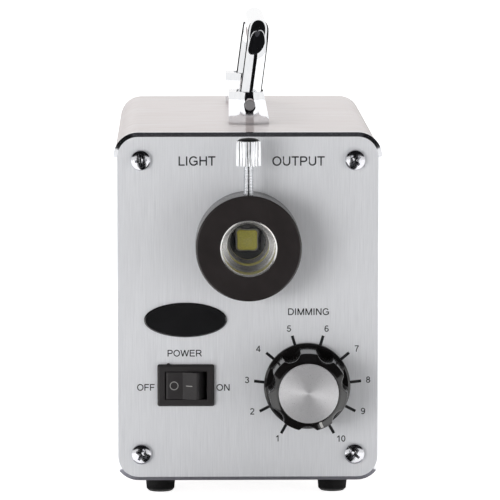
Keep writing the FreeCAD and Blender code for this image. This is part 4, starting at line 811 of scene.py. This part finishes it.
def bracket(name, node):
    low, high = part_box(node)
    place = Matrix.Translation(Vector((PIVOT.x, (low.y + high.y) / 2, low.z)))
    deep, tall = (high.y - low.y) / 2 / MM, (high.z - low.z) / MM
    left, foot, top = (PIVOT.x - low.x) / MM, (high.x - PIVOT.x) / MM, 5.2
    shares = [k / 24 for k in range(25)]

    def section(height):
        right = foot if height < 1.6 else foot + (top - foot) * (height - 1.6) / (tall - 1.6)
        xs = [-left + (left + right) * share for share in shares]
        front = [(x, -deep + crown(x)) for x in xs]
        return front + [(x, -y) for x, y in reversed(front)]

    bm = bmesh.new()
    heights = (0.0, 1.6, tall * 0.4, tall * 0.7, tall)
    rings = [[bm.verts.new(place @ (Vector((x, y, h)) * MM)) for x, y in section(h)]
             for h in heights]
    skin(bm, rings)
    bm.faces.new(rings[0][::-1])
    bm.faces.new(rings[-1])
    slot, half_gap, slot_floor, pin_height = bmesh.new(), 4.3, 2.2, 7.25
    prism(slot, place, [(-half_gap, -half_gap), (foot + 1, -half_gap), (foot + 1, half_gap),
                        (-half_gap, half_gap)], slot_floor, tall + 1)
    block = cut(mesh_from(bm, name), mesh_from(slot, "slot"), name)
    hole = bmesh.new()
    lathe(hole, crosswise(place, 0, 0, pin_height),
          [(0, -12), (PIN_RADIUS, -12), (PIN_RADIUS, 12), (0, 12)], 48)
    mesh = cut(block, mesh_from(hole, "hole"), name,
               ("BEVEL", {"width": 0.32 * MM, "segments": 3, "limit_method": "ANGLE",
                          "angle_limit": math.radians(50), "use_clamp_overlap": True}))
    finish_mesh(name, mesh, LOOKS["bright_plating"], "housing", (node,), 30)


bracket("crowned_bracket_front", "handle_bracket_front")
bracket("crowned_bracket_rear", "handle_bracket_rear")


# Switch marks and the lug on its bezel

rocker_mark = plastic("rocker_mark", (0.40, 0.39, 0.38), 0.4, 6.0, 0.004)
switch_low, switch_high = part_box("switch_housing")
SWITCH_X = ((switch_low.x + switch_high.x) / 2 - PANEL_X) / MM
SWITCH_Z = ((switch_low.z + switch_high.z) / 2 - panel_low.z) / MM
ROCKER_PIVOT, ROCKER_REST = 3.1, -12  # millimetres behind the panel's face, and degrees
rocker_turn = (Matrix.Translation(at(SWITCH_X, ROCKER_PIVOT, SWITCH_Z))
               @ Matrix.Rotation(math.radians(ROCKER_REST), 4, "Z"))


def rocker_face(side, along):
    """Local Z out of one half of the rocker's face, at a distance from its middle."""
    slope = math.atan2(1.3, 6.1)
    spot = Vector((side * along, -5.5 - along * math.tan(slope), 0)) * MM
    tilt = Matrix.Rotation(side * slope, 4, "Z").inverted()
    return rocker_turn @ Matrix.Translation(spot) @ tilt @ OUTWARD


mark = bmesh.new()
closed_lathe(mark, rocker_face(-1, 3.1), [(1.30, 0.0), (1.58, 0.0), (1.58, 0.03), (1.30, 0.03)], 64)
piece("rocker_mark_off", mark, "switch_plastic", "rocker", material=rocker_mark, sharp=20)
mark = bmesh.new()
prism(mark, rocker_face(1, 2.5),
      [(-1.25, -0.15), (1.25, -0.15), (1.25, 0.15), (-1.25, 0.15)], 0.0, 0.03)
piece("rocker_mark_on", mark, "switch_plastic", "rocker", material=rocker_mark, sharp=20)
lug = bmesh.new()
half_round = [(0.65 * math.cos(math.pi * k / 10), 0.65 * math.sin(math.pi * k / 10))
              for k in range(11)]
lug_place = level(at(SWITCH_X - 6.4, 0, (switch_high.z - panel_low.z) / MM - 0.2))
prism(lug, lug_place, half_round, 0.0, 1.2)
piece("bezel_lug", lug, "switch_plastic", sharp=40)


# Lettering and marks

ink = plastic("panel_ink", (0.006, 0.006, 0.008), 0.6, 6.0, 0.004)
INK_RISE = 0.03
WEIGHT = 0.150


def arc(cx, cy, rx, ry, start, end):
    """Points along an ellipse between two angles in degrees."""
    steps = max(4, int(abs(end - start) / 12))
    angles = [math.radians(start + (end - start) * k / steps) for k in range(steps + 1)]
    return [(cx + rx * math.cos(a), cy + ry * math.sin(a)) for a in angles]


# Each sign's advance and strokes, as shares of the height of a capital
SIGN_SHARES = {
    "P": (0.932, [[(.174, 0), (.174, 1)],
                  [(.174, .94), (.55, .94)] + arc(.55, .70, .26, .24, 90, -90) + [(.174, .46)]]),
    "O": (1.087, [arc(.543, .5, .42, .45, 0, 360)]),
    "W": (1.319, [[(.085, 1), (.365, 0)], [(.365, 0), (.66, 1)], [(.66, 1), (.955, 0)],
                  [(.955, 0), (1.235, 1)]]),
    "E": (0.932, [[(.17, 0), (.17, 1)], [(.17, .94), (.84, .94)], [(.17, .53), (.79, .53)],
                  [(.17, .06), (.86, .06)]]),
    "R": (1.009, [[(.177, 0), (.177, 1)],
                  [(.177, .94), (.60, .94)] + arc(.60, .705, .245, .235, 90, -90) + [(.177, .47)],
                  [(.52, .47), (.66, .40), (.92, .01)]]),
    "F": (0.853, [[(.17, 0), (.17, 1)], [(.17, .94), (.80, .94)], [(.17, .50), (.73, .50)]]),
    "N": (1.009, [[(.17, 0), (.17, 1)], [(.19, 1), (.82, 0)], [(.84, 0), (.84, 1)]]),
    "D": (1.009, [[(.17, 0), (.17, 1)],
                  [(.17, .94), (.50, .94)] + arc(.50, .5, .39, .44, 90, -90) + [(.17, .06)]]),
    "I": (0.388, [[(.194, 0), (.194, 1)]]),
    "M": (1.164, [[(.165, 0), (.165, 1)], [(.185, 1), (.582, 0)], [(.582, 0), (.98, 1)],
                  [(1.0, 0), (1.0, 1)]]),
    "G": (1.087, [arc(.55, .5, .42, .45, 38, 322) + [(.925, .20), (.925, .46)],
                  [(.56, .46), (.985, .46)]]),
    "L": (0.777, [[(.17, 0), (.17, 1)], [(.17, .06), (.75, .06)]]),
    "H": (1.009, [[(.17, 0), (.17, 1)], [(.84, 0), (.84, 1)], [(.17, .53), (.84, .53)]]),
    "T": (0.853, [[(.427, 0), (.427, 1)], [(.03, .94), (.82, .94)]]),
    "U": (1.009, [[(.17, 1), (.17, .38)] + arc(.505, .38, .335, .32, 180, 360) + [(.84, 1)]]),
    "1": (0.777, [[(.49, 0), (.49, 1)], [(.50, .96), (.38, .82), (.18, .71)]]),
    "2": (0.777, [arc(.385, .71, .265, .235, 165, -42) + [(.15, .10)], [(.07, .06), (.69, .06)]]),
    "3": (0.777, [arc(.375, .735, .225, .205, 160, -90), arc(.375, .29, .27, .235, 90, -165)]),
    "4": (0.777, [[(.55, 0), (.55, 1)], [(.53, .95), (.10, .31)], [(.05, .29), (.73, .29)]]),
    "5": (0.777, [[(.22, .94), (.66, .94)], [(.235, .95), (.165, .50)],
                  arc(.375, .325, .275, .265, 140, -162)]),
    "6": (0.777, [arc(.39, .31, .265, .25, 0, 360),
                  arc(.44, .48, .315, .46, 55, 180) + [(.125, .34)]]),
    "7": (0.777, [[(.07, .94), (.70, .94)], [(.67, .93), (.49, .66), (.36, .34), (.31, 0)]]),
    "8": (0.777, [arc(.385, .74, .225, .20, 0, 360), arc(.385, .29, .27, .235, 0, 360)]),
    "9": (0.777, [arc(.38, .69, .265, .25, 0, 360),
                  arc(.33, .52, .315, .46, 235, 360) + [(.645, .66)]]),
    "0": (0.777, [arc(.385, .5, .265, .44, 0, 360)]),
}


def stroke_sides(points):
    """The two sides of a stroke, for a straight steep one cut level at its ends."""
    if len(points) == 2 and abs(points[1][1] - points[0][1]) > abs(points[1][0] - points[0][0]):
        (x0, y0), (x1, y1) = points
        half = WEIGHT / 2 * math.hypot(x1 - x0, y1 - y0) / abs(y1 - y0)
        return [((x - half, y), (x + half, y)) for x, y in points]
    closed = points[0] == points[-1] or math.dist(points[0], points[-1]) < 1e-6
    count = len(points)
    sides = []
    for k, (x, y) in enumerate(points):
        before = points[k - 1] if k else (points[-2] if closed else points[0])
        after = points[k + 1] if k + 1 < count else (points[1] if closed else points[-1])
        a = Vector((x - before[0], y - before[1]))
        b = Vector((after[0] - x, after[1] - y))
        a = a.normalized() if a.length else b.normalized()
        b = b.normalized() if b.length else a
        across = Vector((-a.y - b.y, a.x + b.x)).normalized()
        reach = WEIGHT / 2 / max(0.55, across.dot(Vector((-a.y, a.x))))
        sides.append(((x + across.x * reach, y + across.y * reach),
                      (x - across.x * reach, y - across.y * reach)))
    return sides


def print_strip(bm, sides):
    """A thin printed strip on the front panel between pairs of points (x, z in millimetres)."""
    rows = []
    for (x0, z0), (x1, z1) in sides:
        rows.append([bm.verts.new(at(x, depth, z)) for x, z, depth in
                     ((x0, z0, 0), (x0, z0, -INK_RISE), (x1, z1, -INK_RISE), (x1, z1, 0))])
    for a, b in zip(rows, rows[1:]):
        for k in range(3):
            bm.faces.new((a[k], a[k + 1], b[k + 1], b[k]))
    bm.faces.new(rows[0])
    bm.faces.new(rows[-1][::-1])


def write(bm, text, centre, tall, wide=None):
    """Text with its middle at centre; tall is the height of a capital, all in millimetres."""
    strokes, start = [], 0.0
    for sign in text:
        advance, lines = SIGN_SHARES[sign]
        for points in lines:
            strokes.append([[(x + start, y) for x, y in pair]
                            for pair in stroke_sides(points)])
        start += advance
    xs = [x for pairs in strokes for pair in pairs for x, y in pair]
    natural = (max(xs) - min(xs)) * tall
    stretch = wide / natural if wide else 1.0
    middle = (max(xs) + min(xs)) / 2
    for pairs in strokes:
        print_strip(bm, [[(centre[0] + (x - middle) * tall * stretch, centre[1] + (y - 0.5) * tall)
                          for x, y in pair] for pair in pairs])


PX = 1.0 / 2.763  # millimetres on the front panel for one point of the photograph
# Text, middle, height of a capital and width, in points; LIGHT and OUTPUT aren't in the photograph
for name, text, px, py, tall, wide in (
        ("label_power", "POWER", 184.7, 353.2, 6.6, 34.6),
        ("label_off", "OFF", 145.8, 387.4, 6.6, 17.7),
        ("label_on", "ON", 223.0, 387.4, 6.6, 13.4),
        ("label_dimming", "DIMMING", 308.5, 311.7, 6.7, 41.3),
        ("label_light", "LIGHT", 197.0, 161.0, 9.3, None),
        ("label_output", "OUTPUT", 298.5, 161.0, 9.3, None)):
    bm = bmesh.new()
    write(bm, text, seen(px, py), tall * PX, wide and wide * PX)
    piece(name, bm, "black_plastic", material=ink, sharp=20)
numbers = bmesh.new()
for value, (px, py) in enumerate((
        (277.2, 438.3), (252.2, 411.4), (247.0, 379.9), (258.1, 348.8), (288.9, 328.6),
        (326.6, 328.6), (356.8, 348.5), (368.1, 379.6), (363.0, 411.0), (341.2, 438.5)), start=1):
    write(numbers, str(value), seen(px, py), 6.3 * PX)
piece("dial_numbers", numbers, "black_plastic", material=ink, sharp=20)

ticks = bmesh.new()
DIAL = Vector(seen(307.6, 386.84))
FIRST_TICK, TICK_STEP = -150.6, 33.47  # degrees clockwise from upright
TICK_HALF, TICK_ENDS = 0.52, (15.0, 19.7)
for k in range(10):
    t = math.radians(FIRST_TICK + TICK_STEP * k)
    out, across = Vector((math.sin(t), math.cos(t))), Vector((math.cos(t), -math.sin(t))) * TICK_HALF
    print_strip(ticks, [[DIAL + out * r - across, DIAL + out * r + across] for r in TICK_ENDS])
piece("dial_ticks", ticks, "black_plastic", material=ink, sharp=20)

white_paint = plastic("mark_paint", (0.80, 0.79, 0.76), 0.4, 6.0, 0.004)
pointer = bmesh.new()
half = 0.47
line = [(11.35, 20.45), (11.65, 20.24), (12.6, 19.19), (13.6, 18.14), (13.95, 17.78), (14.12, 17.5),
        (14.22, 17.2), (14.34, 12.0), (14.5, 6.5), (14.63, 2.6)]
pairs = [[pointer.verts.new(knob_place() @ (Vector((side * half, r, h)) * MM)) for side in (-1, 1)]
         for r, h in line]
under = [[pointer.verts.new(knob_place() @ (Vector((side * half, r - 0.12, h - 0.12)) * MM))
          for side in (-1, 1)] for r, h in line]
for a, b, c, d in zip(pairs, pairs[1:], under, under[1:]):
    pointer.faces.new((a[0], b[0], b[1], a[1]))
    pointer.faces.new((c[0], c[1], d[1], d[0]))
    pointer.faces.new((a[0], c[0], d[0], b[0]))
    pointer.faces.new((a[1], b[1], d[1], c[1]))
for end, base in ((pairs[0], under[0]), (pairs[-1], under[-1])):
    pointer.faces.new((end[0], end[1], base[1], base[0]))
piece("knob_pointer", pointer, "black_plastic", "dimmer", material=white_paint, sharp=40)


# Stage, lamps and camera

def show_to(tree, *kinds):
    """Light path outputs added together, from 0 to 1."""
    path = tree.nodes.new("ShaderNodeLightPath")
    total = path.outputs[kinds[0]]
    for kind in kinds[1:]:
        add = tree.nodes.new("ShaderNodeMath")
        add.operation = "ADD"
        add.use_clamp = True
        tree.links.new(total, add.inputs[0])
        tree.links.new(path.outputs[kind], add.inputs[1])
        total = add.outputs[0]
    return total


SHOWN = ("Is Camera Ray", "Is Glossy Ray", "Is Transmission Ray")
world = bpy.data.worlds.new("studio")
bpy.context.scene.world = world
world.use_nodes = True
tree = world.node_tree
background = tree.nodes["Background"]
background.inputs["Color"].default_value = (1, 1, 1, 1)
strength = tree.nodes.new("ShaderNodeMapRange")
strength.inputs["To Min"].default_value = 0.32
strength.inputs["To Max"].default_value = 1.0
tree.links.new(show_to(tree, *SHOWN), strength.inputs["Value"])
tree.links.new(strength.outputs["Result"], background.inputs["Strength"])

floor_look = bpy.data.materials.new("floor_white")
floor_look.use_nodes = True
tree = floor_look.node_tree
shader = tree.nodes["Principled BSDF"]
shader.inputs["Roughness"].default_value = 0.6
shader.inputs["Specular IOR Level"].default_value = 0.2
shader.inputs["Emission Color"].default_value = (1, 1, 1, 1)
speckle = tree.nodes.new("ShaderNodeTexNoise")
speckle.inputs["Scale"].default_value = 60.0
shade = tree.nodes.new("ShaderNodeValToRGB")
shade.color_ramp.elements[0].color = (0.86, 0.86, 0.86, 1)
shade.color_ramp.elements[1].color = (0.90, 0.90, 0.90, 1)
tree.links.new(speckle.outputs["Fac"], shade.inputs["Fac"])
tree.links.new(shade.outputs["Color"], shader.inputs["Base Color"])
glow = tree.nodes.new("ShaderNodeMath")
glow.operation = "MULTIPLY"
glow.inputs[1].default_value = 0.88
tree.links.new(show_to(tree, *SHOWN), glow.inputs[0])
tree.links.new(glow.outputs[0], shader.inputs["Emission Strength"])


def stage_piece(name, bm, look):
    mesh = bpy.data.meshes.new(name)
    bm.to_mesh(mesh)
    bm.free()
    mesh.materials.append(look)
    obj = bpy.data.objects.new(name, mesh)
    bpy.context.scene.collection.objects.link(obj)
    return obj


bm = bmesh.new()
bmesh.ops.create_circle(bm, cap_ends=True, segments=96, radius=6.0)
stage_piece("floor", bm, floor_look).location.z = cad_low.z


def flag(name, rows, grey=0.012):
    """A dark cloth through rows of points, seen only in reflections."""
    look = bpy.data.materials.new(name + "_cloth")
    look.use_nodes = True
    shader = look.node_tree.nodes["Principled BSDF"]
    shader.inputs["Base Color"].default_value = (grey, grey, grey * 1.1, 1)
    shader.inputs["Specular IOR Level"].default_value = 0.0
    bm = bmesh.new()
    skin(bm, [[bm.verts.new(point) for point in row] for row in rows], closed=False)
    obj = stage_piece(name, bm, look)
    obj.visible_camera = obj.visible_diffuse = obj.visible_shadow = False
    obj.visible_transmission = obj.visible_volume_scatter = False


def dome(turn, rise, radius=1.6):
    """Rows of points on a sphere round the object: turn runs from the front to the right and rise
    up from level, in degrees."""
    rows = []
    for j in range(9):
        e = math.radians(rise[0] + (rise[1] - rise[0]) * j / 8)
        angles = [math.radians(turn[0] + (turn[1] - turn[0]) * k / 24) for k in range(25)]
        ways = [Vector((math.sin(a) * math.cos(e), -math.cos(a) * math.cos(e), math.sin(e)))
                for a in angles]
        rows.append([way * radius + at(0, 40, 110) for way in ways])
    return rows


def apron(near, far, half_width, spread):
    """Rows of points just above the floor in front of the object, wider farther out."""
    rows = []
    for k in range(5):
        away = near + (far - near) * k / 4
        half = half_width + spread * away
        y, z = panel_low.y - away * MM, cad_low.z + 1 * MM
        rows.append([Vector((PANEL_X + side * half * MM, y, z)) for side in (-1, 1)])
    return rows


flag("flag_above", dome((-105, 105), (17, 70)), 0.015)
flag("flag_zenith", dome((-105, 105), (70, 89)), 0.09)
flag("flag_over", dome((-70, 70), (89, 150)), 0.015)
flag("flag_front", dome((-19, 19), (-24, 17)))
flag("flag_left_rear", dome((-166, -128), (-12, 16), 0.8))
flag("flag_right_rear", dome((128, 166), (-12, 16), 0.8))
flag("flag_apron", apron(8, 2600, 30, 0.30))
flag("flag_under", apron(-60, 7, 60, 0.0), 0.45)


def lamp(name, place, power, wide, tall, target=(0, 20, 70)):
    light = bpy.data.lights.new(name, "AREA")
    light.shape = "RECTANGLE"
    light.energy = power
    light.size, light.size_y = wide, tall
    obj = bpy.data.objects.new(name, light)
    obj.location = place
    obj.rotation_euler = (at(*target) - Vector(place)).to_track_quat("-Z", "Y").to_euler()
    obj.visible_glossy = False
    bpy.context.scene.collection.objects.link(obj)


lamp("lamp_left", (-0.68, -1.1, 0.05), 9.5, 0.6, 0.6)
lamp("lamp_right", (1.05, -0.75, 0.20), 1.4, 0.7, 0.7)
lamp("lamp_top", (-0.15, 0.35, 1.3), 8.0, 1.0, 0.8)

camera_data = bpy.data.cameras.new("camera")
camera_data.sensor_width = SENSOR
camera_data.lens = CAMERA_LENS
camera_data.clip_start = 0.01
camera_data.clip_end = 50.0
camera = bpy.data.objects.new("camera", camera_data)
camera.location = at(*CAMERA_PLACE)
camera.rotation_euler = CAMERA_TURN
bpy.context.scene.collection.objects.link(camera)
bpy.context.scene.camera = camera

bpy.context.scene.view_settings.view_transform = "Standard"
